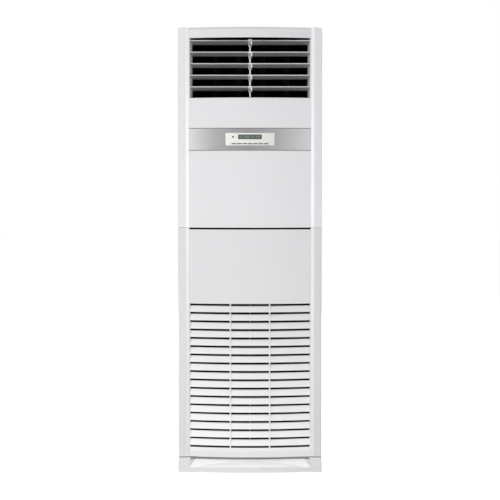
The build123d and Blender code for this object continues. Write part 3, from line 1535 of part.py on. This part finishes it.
upper_pillar = make_upper_pillar()
save("right_upper_pillar", upper_pillar)
save("left_upper_pillar", mirrored(upper_pillar))
lower_pillar = make_lower_pillar()
save("right_lower_pillar", lower_pillar)
save("left_lower_pillar", mirrored(lower_pillar))
save("outlet_head_trim", make_head_trim())
save("upper_front_panel", make_upper_panel())
save("silver_band", make_silver_band())

save("display_plate", make_display_plate())
save("lcd_window", make_lcd_window())
save("ir_window", make_ir_window())
save("display_board", make_display_board())
for number, key_x in enumerate(key_xs(), 1):
    save("display_key_%d" % number, make_key(key_x))

cheek = make_cheek()
save("right_outlet_cheek", cheek)
save("left_outlet_cheek", mirrored(cheek))
for number in range(blade_count):
    save("louvre_blade_%d" % (number + 1), make_blade(number))
save("louvre_link_rod", make_link_rod())

save("outlet_duct", make_duct())
for number, vane_x in enumerate(vane_xs(), 1):
    save("swing_vane_%d" % number, make_vane(vane_x))
save("vane_link_bar", make_link_bar())
save("swing_crank", make_crank())
save("swing_motor", make_swing_motor())

save("intake_grille", make_grille())
air_filter = make_filter()
save("right_air_filter", air_filter)
save("left_air_filter", mirrored(air_filter))

save("scroll_housing", make_scroll())
save("blower_wheel", make_wheel())
save("motor_shaft", make_shaft())
save("fan_motor", make_motor())
save("fan_deck", make_fan_deck())

save("evaporator_core", make_coil_core())
save("evaporator_end_plates", make_end_plates())
save("evaporator_bends", make_bends())
save("refrigerant_pipes", make_pipework())
save("drain_trough", make_trough())
save("drain_pipe", make_drain_pipe())
save("pipe_grommet", make_grommet())

save("control_box", make_control_box())
save("main_board", make_main_board())
save("capacitor", make_capacitor())
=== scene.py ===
from math import cos, pi, radians, sin

import bmesh
import bpy
from mathutils import Matrix, Vector


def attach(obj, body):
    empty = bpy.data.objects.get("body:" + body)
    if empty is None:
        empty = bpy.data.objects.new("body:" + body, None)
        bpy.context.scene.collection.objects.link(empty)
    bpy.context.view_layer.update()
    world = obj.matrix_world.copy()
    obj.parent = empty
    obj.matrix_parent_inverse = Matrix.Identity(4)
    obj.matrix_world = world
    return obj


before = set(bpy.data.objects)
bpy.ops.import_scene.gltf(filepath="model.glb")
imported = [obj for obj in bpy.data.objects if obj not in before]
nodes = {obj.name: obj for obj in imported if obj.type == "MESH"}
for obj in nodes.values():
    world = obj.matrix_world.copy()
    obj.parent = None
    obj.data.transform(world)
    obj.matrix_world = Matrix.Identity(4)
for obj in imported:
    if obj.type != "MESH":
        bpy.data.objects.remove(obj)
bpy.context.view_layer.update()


# ---------------------------------------------------------------- places on the cabinet
BULGE_RADIUS = 1.1525           # of the front panels, about an upright axis
BULGE_AXIS = 0.9638             # that axis, behind the cabinet's middle
PILLAR_FRONT = -0.1667          # flat front faces of the pillars
BEVEL_REACH = 0.267             # outer edge of the pillars' bevels, from the cabinet's middle
LEDGE_TOP = 0.053               # rear edge of the ledge in the toe recess
RAIL_SHOULDER = 0.088           # under it the grille's foot rail is painted a little darker, as shade
SLOTS_LOW, SLOTS_HIGH = 0.12, 0.70      # heights between which the grille's painted light changes, brighter low
SLOTS_TOP = 0.707               # upper edge of the top slot
SLAT_SHADE = 0.0074             # from the bulged face to where a slat's shade starts
SLAT_SHADE_DEPTH = 0.0018       # over which it grows full
RIB_DEPTH = 0.0135              # from the bulged face to the ribs behind the slats, which are painted dark as shade
LUG_REACH = 0.0085              # half the width of the blades' link lugs
BAND_HEIGHT = 1.3878            # middle of the silver band
BAND_HALF = 0.047
BAND_REACH = 0.2515             # half the band's width
BAND_RIM = 0.0028               # shaded strip along its upper and lower edges
LCD_HEIGHT = 1.3975             # middle of the display cell
CELL_REACH, CELL_HALF = 0.0445, 0.0068  # half its width and half its height
GLASS_FACE = BULGE_RADIUS + 0.00205     # outer face of the window's glass, from the bulge's axis


# ---------------------------------------------------------------- colours
def linear(value):
    """A display value of 0 to 255 as scene linear light."""
    v = value / 255.0
    return v / 12.92 if v <= 0.04045 else ((v + 0.055) / 1.055) ** 2.4


def tone(red, green=None, blue=None):
    """A colour from display values."""
    green = red if green is None else green
    blue = red if blue is None else blue
    return (linear(red), linear(green), linear(blue), 1.0)


FRONT_WHITE = tone(226, 224, 226)
PILLAR_PAINTED_LIGHT = (                # name, flat face, bevel: painted light, the left pillars lighter than the right and the upper than the lower, and a painted highlight on each bevel
    ("left_upper_pillar", tone(229, 228, 231), tone(254)),
    ("right_upper_pillar", tone(220, 219, 223), tone(246)),
    ("left_lower_pillar", tone(220, 218, 220), tone(240)),
    ("right_lower_pillar", tone(210, 208, 210), tone(232)),
)


# ---------------------------------------------------------------- node trees
class Graph:
    """Nodes and links of one node tree."""

    def __init__(self, tree):
        self.tree = tree

    def add(self, kind, **settings):
        made = self.tree.nodes.new(kind)
        for key, value in settings.items():
            setattr(made, key, value)
        return made

    def link(self, start, end):
        self.tree.links.new(start, end)

    def feed(self, socket, value):
        """Set an input to a number or a colour, or link it to an output."""
        if isinstance(value, (int, float, tuple)):
            socket.default_value = value
        else:
            self.link(value, socket)

    def number(self, operation, first, second=0.0, clamp=False):
        """A Math node on two outputs or numbers."""
        made = self.add("ShaderNodeMath", operation=operation, use_clamp=clamp)
        self.feed(made.inputs[0], first)
        self.feed(made.inputs[1], second)
        return made.outputs[0]

    def product(self, first, *others):
        for other in others:
            first = self.number("MULTIPLY", first, other)
        return first

    def away(self, first, second=0.0):
        """How far one number is from another."""
        return self.number("ABSOLUTE", self.number("SUBTRACT", first, second) if second else first)

    def mix(self, mask, first, second):
        """A colour between two."""
        made = self.add("ShaderNodeMix", data_type="RGBA")
        self.feed(made.inputs[0], mask)
        self.feed(made.inputs[6], first)
        self.feed(made.inputs[7], second)
        return made.outputs[2]

    def dimmed(self, color, value):
        """A colour times a number."""
        made = self.add("ShaderNodeHueSaturation")
        self.feed(made.inputs["Value"], value)
        self.feed(made.inputs["Color"], color)
        return made.outputs["Color"]

    def ranged(self, value, low, high, start=0.0, end=1.0):
        """A number between low and high, as another runs from start to end."""
        made = self.add("ShaderNodeMapRange")
        for label, setting in (("From Min", start), ("From Max", end), ("To Min", low), ("To Max", high)):
            made.inputs[label].default_value = setting
        self.link(value, made.inputs["Value"])
        return made.outputs["Result"]

    def split(self, vector):
        """X, Y and Z of a vector, by name."""
        made = self.add("ShaderNodeSeparateXYZ")
        self.link(vector, made.inputs["Vector"])
        return made.outputs

    def spot(self):
        """X, Y and Z of the place, in object coordinates."""
        return self.split(self.add("ShaderNodeTexCoord").outputs["Object"])

    def facing(self):
        """X, Y and Z of the face's normal."""
        return self.split(self.add("ShaderNodeNewGeometry").outputs["Normal"])

    def place(self, scale=(1.0, 1.0, 1.0), shift=(0.0, 0.0, 0.0)):
        """Object coordinates, stretched along the axes and then shifted."""
        where = self.add("ShaderNodeTexCoord")
        made = self.add("ShaderNodeMapping")
        made.inputs["Scale"].default_value = scale
        made.inputs["Location"].default_value = shift
        self.link(where.outputs["Object"], made.inputs["Vector"])
        return made.outputs["Vector"]

    def noise(self, vector, scale, detail=2.0, roughness=0.5):
        made = self.add("ShaderNodeTexNoise")
        self.link(vector, made.inputs["Vector"])
        self.feed(made.inputs["Scale"], scale)
        made.inputs["Detail"].default_value = detail
        made.inputs["Roughness"].default_value = roughness
        return made.outputs["Fac"]

    def bricks(self, scale, gap, colors, offset=0.5):
        """Rows of bricks in two colours, with mortar in a third."""
        made = self.add("ShaderNodeTexBrick", offset=offset)
        self.link(self.place(), made.inputs["Vector"])
        made.inputs["Scale"].default_value = scale
        made.inputs["Mortar Size"].default_value = gap
        for label, color in zip(("Color1", "Color2", "Mortar"), colors):
            made.inputs[label].default_value = color
        return made.outputs


# ---------------------------------------------------------------- camera, floor and lights
EYE = (0.0, -5.7667, 1.174)
LENS, SENSOR = 97.2, 36.0       # millimetres
LOOK_DOWN = 2.497               # degrees
FLOOR_HALF = 30.0
SOFTBOXES = (                   # name, place, target, width, height, share of plain light
    ("key_softbox", (-3.2, -7.0, 4.8), (0.0, 0.0, 0.9), 7.0, 3.0, 0.38),
    ("low_softbox", (-0.4, -6.4, 0.5), (0.0, 0.0, 0.2), 5.0, 0.8, 0.18),
    ("foot_softbox", (-0.1, -2.2, 0.16), (0.0, -0.1, 0.1), 2.6, 0.26, 0.13),
    ("left_softbox", (-2.6, -1.8, 0.9), (0.0, -0.1, 0.5), 1.4, 1.6, 0.15),
    ("right_softbox", (3.4, -2.5, 1.1), (0.0, -0.1, 0.8), 1.0, 1.6, 0.18),
    ("back_softbox", (-1.6, 6.6, 2.8), (0.0, 0.1, 0.9), 5.0, 2.6, 0.42),
    ("side_softbox", (4.6, 1.8, 2.2), (0.0, 0.1, 0.9), 2.4, 2.4, 0.22),
)


def make_camera():
    """At the viewer's eye level in front of the cabinet, tilted slightly down."""
    data = bpy.data.cameras.new("front_camera")
    data.lens = LENS
    data.sensor_width = SENSOR
    camera = bpy.data.objects.new("front_camera", data)
    bpy.context.scene.collection.objects.link(camera)
    camera.location = EYE
    camera.rotation_euler = (radians(90.0 - LOOK_DOWN), 0.0, 0.0)
    bpy.context.scene.camera = camera


def make_softbox(name, place, target, width, height, share):
    """A rectangular studio lamp that looks at a point, where it gives this share of plain light."""
    direction = Vector(target) - Vector(place)
    data = bpy.data.lights.new(name, "AREA")
    data.shape = "RECTANGLE"
    data.size = width
    data.size_y = height
    data.energy = share * pi ** 2 * direction.length_squared
    lamp = bpy.data.objects.new(name, data)
    bpy.context.scene.collection.objects.link(lamp)
    lamp.matrix_world = Matrix.Translation(place) @ direction.to_track_quat("-Z", "Y").to_matrix().to_4x4()


def make_world():
    """White where it is seen, mirrored or looked at through glass, and soft light on the object."""
    world = bpy.data.worlds.new("white_surround")
    bpy.context.scene.world = world
    world.use_nodes = True
    g = Graph(world.node_tree)
    world.node_tree.nodes.clear()
    path = g.add("ShaderNodeLightPath").outputs
    seen = g.number("MAXIMUM", path["Is Camera Ray"], path["Is Glossy Ray"])
    seen = g.number("MAXIMUM", seen, path["Is Transmission Ray"])
    mix = g.add("ShaderNodeMixShader")
    g.link(seen, mix.inputs[0])
    for place, color, strength in ((1, (0.985, 0.992, 1.0, 1.0), 0.40), (2, (1.0, 1.0, 1.0, 1.0), 1.0)):
        light = g.add("ShaderNodeBackground")
        light.inputs["Color"].default_value = color
        light.inputs["Strength"].default_value = strength
        g.link(light.outputs[0], mix.inputs[place])
    g.link(mix.outputs[0], g.add("ShaderNodeOutputWorld").inputs["Surface"])


def make_floor():
    """Pale floor that keeps the object's shadow and ends in the white surround."""
    shape = bmesh.new()
    bmesh.ops.create_grid(shape, x_segments=2, y_segments=2, size=FLOOR_HALF)
    floor = finished("studio_floor", shape)
    f = Finish("studio_floor", 0.9, specular=0.0)
    path = f.add("ShaderNodeLightPath").outputs
    seen = f.number("MAXIMUM", path["Is Camera Ray"], path["Is Glossy Ray"])
    f.color(f.mix(seen, (0.10, 0.10, 0.10, 1.0), (0.45, 0.45, 0.45, 1.0)))
    f.shader.inputs["Emission Color"].default_value = (1.0, 1.0, 1.0, 1.0)
    f.link(f.number("MULTIPLY", seen, 0.82), f.shader.inputs["Emission Strength"])
    floor.data.materials.append(f.material)


def finished(name, shape):
    """A mesh object from a bmesh, which is freed."""
    mesh = bpy.data.meshes.new(name)
    shape.to_mesh(mesh)
    shape.free()
    piece = bpy.data.objects.new(name, mesh)
    bpy.context.scene.collection.objects.link(piece)
    return piece


# ---------------------------------------------------------------- shared effects
class Effect(Graph):
    """A shader node group with named inputs and outputs."""

    def __init__(self, name, inputs, outputs):
        super().__init__(bpy.data.node_groups.new(name, "ShaderNodeTree"))
        for label, kind, value in inputs:
            socket = self.tree.interface.new_socket(label, in_out="INPUT", socket_type=kind)
            socket.default_value = value
        for label, kind in outputs:
            self.tree.interface.new_socket(label, in_out="OUTPUT", socket_type=kind)
        self.given = self.add("NodeGroupInput").outputs
        self.gives = self.add("NodeGroupOutput").inputs


NUMBER, COLOR = "NodeSocketFloat", "NodeSocketColor"
GREY = (0.8, 0.8, 0.8, 1.0)


def moulded_grain():
    """Fine spark-eroded grain of moulded plastic, and the faint flow marks under it."""
    g = Effect("moulded_grain", [("Scale", NUMBER, 900.0)], [("Height", NUMBER), ("Fleck", NUMBER)])
    fine = g.noise(g.place(), g.given["Scale"], 3.0, 0.6)
    flow = g.noise(g.place((1.0, 1.0, 0.25)), 9.0)
    g.link(g.number("MULTIPLY_ADD", flow, 0.35), g.gives["Fleck"])     # and the node's own 0.5
    g.link(fine, g.gives["Height"])
    return g.tree


def orange_peel():
    """Shallow dimples of powder coat."""
    g = Effect("orange_peel", [("Scale", NUMBER, 260.0)], [("Height", NUMBER), ("Fleck", NUMBER)])
    cells = g.add("ShaderNodeTexVoronoi", feature="SMOOTH_F1")
    g.link(g.place(), cells.inputs["Vector"])
    g.link(g.given["Scale"], cells.inputs["Scale"])
    fine = g.noise(g.place(), 700.0)
    g.link(g.number("MULTIPLY_ADD", fine, 0.4), g.gives["Fleck"])
    g.link(cells.outputs["Distance"], g.gives["Height"])
    return g.tree


def tone_drift():
    """Slow change of tone over a large moulding or sheet."""
    g = Effect("tone_drift", [("Color", COLOR, GREY), ("Amount", NUMBER, 0.04), ("Scale", NUMBER, 1.6)],
               [("Color", COLOR)])
    cloud = g.noise(g.place((1.0, 1.0, 0.5)), g.given["Scale"], 2.0, 0.45)
    swing = g.product(g.number("SUBTRACT", cloud, 0.5), g.given["Amount"])
    g.link(g.dimmed(g.given["Color"], g.number("ADD", swing, 1.0)), g.gives["Color"])
    return g.tree


def settled_dust():
    """Grey dust on faces that look up, thicker in patches."""
    g = Effect("settled_dust", [("Color", COLOR, GREY), ("Amount", NUMBER, 0.25)],
               [("Color", COLOR), ("Mask", NUMBER)])
    up = g.number("SUBTRACT", g.facing()["Z"], 0.35, clamp=True)
    patches = g.noise(g.place(), 14.0, 4.0, 0.6)
    mask = g.number("MULTIPLY", g.product(up, patches), g.given["Amount"], clamp=True)
    g.link(g.mix(mask, g.given["Color"], tone(168, 163, 156)), g.gives["Color"])
    g.link(mask, g.gives["Mask"])
    return g.tree


def brushed_lines():
    """Long fine scratches across the width."""
    g = Effect("brushed_lines", [("Density", NUMBER, 1600.0)], [("Height", NUMBER), ("Streak", NUMBER)])
    fine = g.noise(g.place((0.01, 0.01, 1.0)), g.given["Density"], 3.0, 0.7)
    broad = g.noise(g.place((0.02, 0.02, 1.0)), 320.0)
    g.link(g.product(fine, broad), g.gives["Streak"])
    g.link(fine, g.gives["Height"])
    return g.tree


GRAIN = moulded_grain()
PEEL = orange_peel()
DRIFT = tone_drift()
DUST = settled_dust()
BRUSHED = brushed_lines()


# ---------------------------------------------------------------- finishes
class Finish(Graph):
    """A material whose Principled BSDF is fed by effects."""

    def __init__(self, name, roughness, metallic=0.0, specular=0.5):
        self.material = bpy.data.materials.new(name)
        self.material.use_nodes = True
        super().__init__(self.material.node_tree)
        self.shader = self.tree.nodes["Principled BSDF"]
        self.shader.inputs["Roughness"].default_value = roughness
        self.shader.inputs["Metallic"].default_value = metallic
        self.shader.inputs["Specular IOR Level"].default_value = specular

    def effect(self, group, **values):
        made = self.add("ShaderNodeGroup", node_tree=group)
        for label, value in values.items():
            self.feed(made.inputs[label], value)
        return made.outputs

    def fed(self, label):
        """What feeds an input of the shader so far."""
        return self.shader.inputs[label].links[0].from_socket

    def color(self, socket):
        self.link(socket, self.shader.inputs["Base Color"])

    def overlay(self, mask, paint):
        """Another colour over the one so far, where a mask is 1."""
        self.color(self.mix(mask, self.fed("Base Color"), paint))

    def dim(self, value):
        """Times a number, the colour so far."""
        self.color(self.dimmed(self.fed("Base Color"), value))

    def roughness(self, low, high, socket):
        """Roughness between two values along a mask."""
        self.link(self.ranged(socket, low, high), self.shader.inputs["Roughness"])

    def bump(self, socket, strength, distance):
        made = self.add("ShaderNodeBump")
        made.inputs["Strength"].default_value = strength
        made.inputs["Distance"].default_value = distance
        self.link(socket, made.inputs["Height"])
        self.link(made.outputs["Normal"], self.shader.inputs["Normal"])


def plastic(name, color, roughness=0.42, grain=900.0, bump=0.25, specular=0.5):
    """Grained moulded plastic."""
    f = Finish(name, roughness, specular=specular)
    drifted = f.effect(DRIFT, Color=color, Amount=0.03)
    dusty = f.effect(DUST, Color=drifted["Color"], Amount=0.2)
    texture = f.effect(GRAIN, Scale=grain)
    f.color(dusty["Color"])
    f.roughness(roughness - 0.05, roughness + 0.07, texture["Fleck"])
    f.bump(texture["Height"], bump, 0.0001)
    return f


def coated_steel(name, color, roughness=0.38):
    """Powder-coated sheet steel."""
    f = Finish(name, roughness)
    drifted = f.effect(DRIFT, Color=color, Amount=0.03, Scale=1.1)
    dusty = f.effect(DUST, Color=drifted["Color"], Amount=0.35)
    texture = f.effect(PEEL)
    f.color(dusty["Color"])
    f.roughness(roughness - 0.05, roughness + 0.06, texture["Fleck"])
    f.bump(texture["Height"], 0.2, 0.0002)
    return f


def bare_metal(name, color, roughness):
    """Bare or plated metal with rolling marks."""
    f = Finish(name, roughness, metallic=1.0)
    drifted = f.effect(DRIFT, Color=color, Amount=0.12, Scale=14.0)
    lines = f.effect(BRUSHED, Density=420.0)
    f.color(drifted["Color"])
    f.roughness(roughness - 0.08, roughness + 0.12, lines["Streak"])
    f.bump(lines["Height"], 0.25, 0.0001)
    return f


def painted_falloff(f, rate, start=1.0):
    """Painted shade: dim a finish towards the viewer's right, by this share for each metre."""
    f.dim(f.number("SUBTRACT", start, f.product(f.spot()["X"], rate)))
    return f


def make_pillar_finish_and_painted_light(name, face, bevel):
    """White moulding whose bevel beside the panels is smoother and carries a painted highlight."""
    f = plastic(name, face)
    normal = f.facing()
    slanted = f.number("GREATER_THAN", f.away(normal["X"]), 0.3)
    front = f.number("LESS_THAN", normal["Y"], -0.3)
    inner = f.number("LESS_THAN", f.away(f.spot()["X"]), BEVEL_REACH)
    mask = f.product(slanted, inner, front)
    # painted highlight: the bevel's brighter tone
    f.overlay(mask, bevel)
    f.link(f.number("SUBTRACT", f.fed("Roughness"), f.product(mask, 0.24)), f.shader.inputs["Roughness"])
    return f


def make_plinth_finish_and_painted_light():
    """White moulding with painted light: darker towards the viewer's right, a painted highlight on the
    ledge of the toe recess, brightest at mid width, and painted shadow on the wall above it.
    """
    f = plastic("plinth_moulding", tone(228, 226, 228))
    place, up = f.spot(), f.facing()["Z"]
    # painted shade growing towards the viewer's right
    right = f.number("MAXIMUM", place["X"], 0.0)
    f.dim(f.number("SUBTRACT", 1.0, f.product(right, 0.28)))
    # painted highlight on faces that look up, brightest at mid width
    side = f.number("MULTIPLY", f.away(place["X"]), 5.0, clamp=True)
    pale = f.mix(side, tone(254, 252, 253), tone(239, 237, 238))
    f.overlay(f.number("GREATER_THAN", up, 0.25), pale)
    # painted shadow on the recess wall under the grille
    back = f.number("GREATER_THAN", place["Y"], PILLAR_FRONT + 0.002)
    high = f.number("GREATER_THAN", place["Z"], LEDGE_TOP - 0.0005)
    wall = f.product(back, high, f.number("LESS_THAN", up, 0.25))
    f.overlay(wall, tone(150, 148, 149))
    return f


def make_louvre_finish_and_painted_light():
    """Pale grey louvre moulding, with painted shade underneath and a painted highlight on the lug at mid
    width.
    """
    f = plastic("louvre_plastic", tone(206, 206, 207), roughness=0.4)
    # painted shade on faces that look down
    f.overlay(f.number("LESS_THAN", f.facing()["Z"], -0.6), tone(160, 159, 159))
    # painted highlight on the lug at mid width
    f.overlay(f.number("LESS_THAN", f.away(f.spot()["X"]), LUG_REACH), tone(248))
    return f


def make_grille_finish_and_painted_light():
    """White moulding with painted light: paler towards its foot with a painted highlight on the rail's top,
    painted shade beside the slots and on the ribs behind.
    """
    f = plastic("grille_moulding", FRONT_WHITE)
    place = f.spot()
    # painted light: brighter low on the grille and dimmer high, and a little painted shade on the foot rail
    # under its shoulder
    painted_light_by_height = f.ranged(place["Z"], 1.13, 0.95, SLOTS_LOW, SLOTS_HIGH)
    rail = f.number("LESS_THAN", place["Z"], RAIL_SHOULDER)
    f.dim(f.number("SUBTRACT", painted_light_by_height, f.product(rail, 0.07)))
    # painted shade beside the slots, strongest at mid width
    reach = f.add("ShaderNodeVectorMath", operation="LENGTH")
    f.link(f.place((1.0, 1.0, 0.0), (0.0, -BULGE_AXIS, 0.0)), reach.inputs[0])
    depth = f.number("SUBTRACT", BULGE_RADIUS, reach.outputs["Value"])
    near = f.number("MULTIPLY", f.number("SUBTRACT", depth, SLAT_SHADE), 1.0 / SLAT_SHADE_DEPTH, clamp=True)
    middle = f.number("SUBTRACT", 1.2, f.product(f.away(place["X"]), 5.0), clamp=True)
    slots = f.product(f.number("LESS_THAN", place["Z"], SLOTS_TOP), 0.65)
    f.overlay(f.product(near, middle, slots), tone(40, 40, 41))
    # painted shade: the ribs behind the slats near black
    f.overlay(f.number("GREATER_THAN", depth, RIB_DEPTH), tone(20, 20, 21))
    return f


def make_silver_finish_and_painted_reflection():
    """Brushed silver foil with a painted reflection, dark in the middle and bright at the ends, and painted
    shadow at its edges.
    """
    f = Finish("silver_band", 0.5, metallic=0.3)
    place = f.spot()
    left = f.number("LESS_THAN", place["X"], 0.0)
    bend = f.number("ADD", f.product(left, 0.6), 1.0)
    # painted reflection: the ramp darkens the foil towards mid width
    ramp = f.add("ShaderNodeValToRGB")
    f.link(f.number("POWER", f.number("DIVIDE", f.away(place["X"]), BAND_REACH), bend), ramp.inputs["Fac"])
    stops = ramp.color_ramp.elements
    stops[0].color = tone(137, 135, 136)
    stops[1].color = tone(196, 195, 197)
    stops[1].position = 0.95
    stops.new(0.42).color = tone(157, 155, 157)
    lines = f.effect(BRUSHED, Density=1500.0)
    foil = f.dimmed(ramp.outputs["Color"], f.ranged(lines["Streak"], 0.86, 1.16))
    # painted shadow along the band's upper and lower edges
    rim = f.number("GREATER_THAN", f.away(place["Z"], BAND_HEIGHT), BAND_HALF - BAND_RIM)
    f.color(f.mix(rim, foil, tone(88, 87, 88)))
    f.roughness(0.44, 0.58, lines["Streak"])
    f.bump(lines["Height"], 0.3, 0.0001)
    return f


def make_glass_finish():
    """Green-grey window: a dark rim round a paler display cell."""
    f = Finish("lcd_glass", 0.2, specular=0.1)
    place = f.spot()
    wide = f.number("LESS_THAN", f.away(place["X"]), CELL_REACH)
    high = f.number("LESS_THAN", f.away(place["Z"], LCD_HEIGHT), CELL_HALF)
    cell = f.effect(DRIFT, Color=tone(114, 127, 116), Amount=0.2, Scale=55.0)
    f.color(f.mix(f.product(wide, high), tone(30, 36, 31), cell["Color"]))
    f.roughness(0.16, 0.26, f.noise(f.place(), 300.0))
    return f


def make_board_finish():
    """Solder-masked board with faint tracks."""
    f = Finish("circuit_board", 0.4)
    tracks = f.bricks(90.0, 0.02, (tone(28, 84, 52), tone(34, 96, 60), tone(120, 140, 90)))
    f.color(f.effect(DRIFT, Color=tracks["Color"], Amount=0.15, Scale=30.0)["Color"])
    f.bump(tracks["Fac"], 0.3, 0.0002)
    return f


def make_foam_finish():
    """Black closed-cell foam lining."""
    f = Finish("duct_foam", 0.9, specular=0.05)
    cells = f.add("ShaderNodeTexVoronoi")
    f.link(f.place(), cells.inputs["Vector"])
    cells.inputs["Scale"].default_value = 420.0
    f.color(f.effect(DRIFT, Color=tone(12, 12, 13), Amount=0.3, Scale=12.0)["Color"])
    f.bump(cells.outputs["Distance"], 0.6, 0.0006)
    return f


def make_mesh_finish():
    """Dark woven filter net in its frame."""
    f = Finish("filter_mesh", 0.7, specular=0.1)
    weave = f.bricks(480.0, 0.12, (tone(14, 15, 17), tone(18, 19, 21), tone(34, 35, 38)), offset=0.0)
    f.color(weave["Color"])
    f.bump(weave["Fac"], 0.6, 0.0003)
    return f


def make_fin_finish():
    """Aluminium fin stack: close fins across the width."""
    f = Finish("fin_aluminium", 0.35, metallic=1.0)
    fins = f.add("ShaderNodeTexWave", bands_direction="X")
    f.link(f.place(), fins.inputs["Vector"])
    fins.inputs["Scale"].default_value = 190.0
    f.color(f.mix(fins.outputs["Fac"], tone(158, 162, 166), tone(196, 199, 202)))
    f.bump(fins.outputs["Fac"], 0.25, 0.0004)
    return f


def make_plate_finish_and_painted_shade():
    """Smooth white display plate, with painted shade growing to the right."""
    plate = plastic("display_plate", tone(234, 233, 229), roughness=0.36, bump=0.1, specular=0.4)
    return painted_falloff(plate, 0.8, 0.985)


def make_finishes():
    """One material for each material slot in model.glb."""
    finishes = {
        "cabinet_paint": coated_steel("cabinet_paint", tone(222, 221, 222)),
        "front_moulding": plastic("front_moulding", FRONT_WHITE),
        "silver_band": make_silver_finish_and_painted_reflection(),
        "display_plate": make_plate_finish_and_painted_shade(),
        "key_caps": plastic("key_caps", tone(128, 124, 121), roughness=0.5, grain=1400.0, specular=0.3),
        "lcd_glass": make_glass_finish(),
        "ir_lens": plastic("ir_lens", tone(18, 16, 17), roughness=0.3, bump=0.05, specular=0.08),
        "circuit_board": make_board_finish(),
        "louvre_plastic": make_louvre_finish_and_painted_light(),
        # near black: painted shade for the deep outlet behind the blades
        "vane_plastic": plastic("vane_plastic", tone(9, 9, 10), roughness=0.7, specular=0.08),
        "duct_foam": make_foam_finish(),
        "motor_steel": coated_steel("motor_steel", tone(58, 60, 64), roughness=0.45),
        "galvanised": bare_metal("galvanised", tone(176, 180, 184), 0.42),
        "wheel_plastic": plastic("wheel_plastic", tone(40, 41, 44), roughness=0.5),
        "shaft_steel": bare_metal("shaft_steel", tone(188, 188, 190), 0.22),
        "fin_aluminium": make_fin_finish(),
        "pipe_copper": bare_metal("pipe_copper", tone(208, 130, 92), 0.3),
        "drain_plastic": plastic("drain_plastic", tone(206, 206, 204), roughness=0.5),
        "filter_mesh": make_mesh_finish(),
        "grommet_rubber": plastic("grommet_rubber", tone(30, 30, 31), roughness=0.75, grain=500.0),
    }
    return {name: finish.material for name, finish in finishes.items()}


def dress_nodes():
    """Give every CAD node its finish by its material slot in model.glb, and some nodes one of their own."""
    finishes = make_finishes()
    for node in nodes.values():
        for place in node.material_slots:
            place.material = finishes[place.material.name.split(".")[0]]
    own = {name: make_pillar_finish_and_painted_light(name + "_moulding", face, bevel) for name, face, bevel in PILLAR_PAINTED_LIGHT}
    own["plinth_skirt"] = make_plinth_finish_and_painted_light()
    own["intake_grille"] = make_grille_finish_and_painted_light()
    # painted shade growing towards the viewer's right on the head strip
    own["outlet_head_trim"] = painted_falloff(plastic("head_moulding", tone(222, 220, 223)), 0.08)
    # white plastic, made whiter still as painted light where the blades shade the rod
    own["louvre_link_rod"] = plastic("link_plastic_painted_light", tone(250), roughness=0.35)
    # near black: painted shade for the dark gap between the panels
    own["mid_rail"] = coated_steel("rail_painted_shade", tone(24, 24, 25), roughness=0.6)
    # light plastic, made paler as painted light on the shaded inner faces
    own["left_outlet_cheek"] = own["right_outlet_cheek"] = plastic("cheek_moulding", tone(244, 244, 245))
    for name, finish in own.items():
        nodes[name].material_slots[0].material = finish.material


# ---------------------------------------------------------------- display
FIGURES = (("2", -0.034), ("6", -0.0265), ("1", -0.004), ("0", 0.0035), ("1", 0.015), ("5", 0.0225))
SEGMENTS_LIT = {"1": "bc", "2": "abged", "0": "abcdef", "5": "afgcd", "6": "afgcde"}
SEGMENT_PLACES = {              # right and up from the figure's middle, and whether it stands upright
    "a": (0.0, 1.0, False), "g": (0.0, 0.0, False), "d": (0.0, -1.0, False),
    "f": (-1.0, 0.5, True), "b": (1.0, 0.5, True), "e": (-1.0, -0.5, True), "c": (1.0, -0.5, True),
}
FIGURE_REACH, FIGURE_HALF = 0.0023, 0.0044
SEGMENT_WIDTH, SEGMENT_THICKNESS, SEGMENT_BEVEL = 0.0015, 0.0001, 0.0004
SEGMENT_GAP = 0.0008


def add_segment(shape, length, upright):
    """One thin bar of a figure with cut corners, at the origin.  Returns its vertices."""
    wide, thick = SEGMENT_WIDTH, SEGMENT_THICKNESS
    size = (wide, thick, length) if upright else (length, thick, wide)
    made = bmesh.ops.create_cube(shape, size=1.0)["verts"]
    bmesh.ops.scale(shape, verts=made, vec=size)
    edges = [e for e in shape.edges if e.verts[0] in made]
    corners = [e for e in edges if abs(e.verts[0].co.y - e.verts[1].co.y) > thick / 2]
    cut = bmesh.ops.bevel(shape, geom=corners, offset=SEGMENT_BEVEL, offset_type="OFFSET", segments=1,
                          profile=0.5, affect="EDGES", material=-1, clamp_overlap=True)
    return list({v for f in cut["faces"] for v in f.verts} | {v for v in made if v.is_valid})


def make_digits():
    """Generic figures in the display window: a set temperature and a clock."""
    shape = bmesh.new()
    for symbol, across in FIGURES:
        for letter in SEGMENTS_LIT[symbol]:
            right, up, upright = SEGMENT_PLACES[letter]
            x, z = across + right * FIGURE_REACH, LCD_HEIGHT + up * FIGURE_HALF
            length = (FIGURE_HALF if upright else 2.0 * FIGURE_REACH) - SEGMENT_GAP
            bar = add_segment(shape, length, upright)
            angle = x / GLASS_FACE
            bmesh.ops.rotate(shape, verts=bar, cent=(0.0, 0.0, 0.0), matrix=Matrix.Rotation(angle, 3, "Z"))
            spot = (GLASS_FACE * sin(angle), BULGE_AXIS - GLASS_FACE * cos(angle), z)
            bmesh.ops.translate(shape, verts=bar, vec=spot)
    bmesh.ops.recalc_face_normals(shape, faces=shape.faces)
    digits = finished("display_digits", shape)
    ink = plastic("display_ink", tone(34, 42, 36), roughness=0.5, bump=0.05, specular=0.2)
    digits.data.materials.append(ink.material)
    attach(digits, "cabinet")


make_camera()
for softbox in SOFTBOXES:
    make_softbox(*softbox)
make_world()
make_floor()
dress_nodes()
make_digits()

bpy.context.scene.view_settings.view_transform = "Standard"
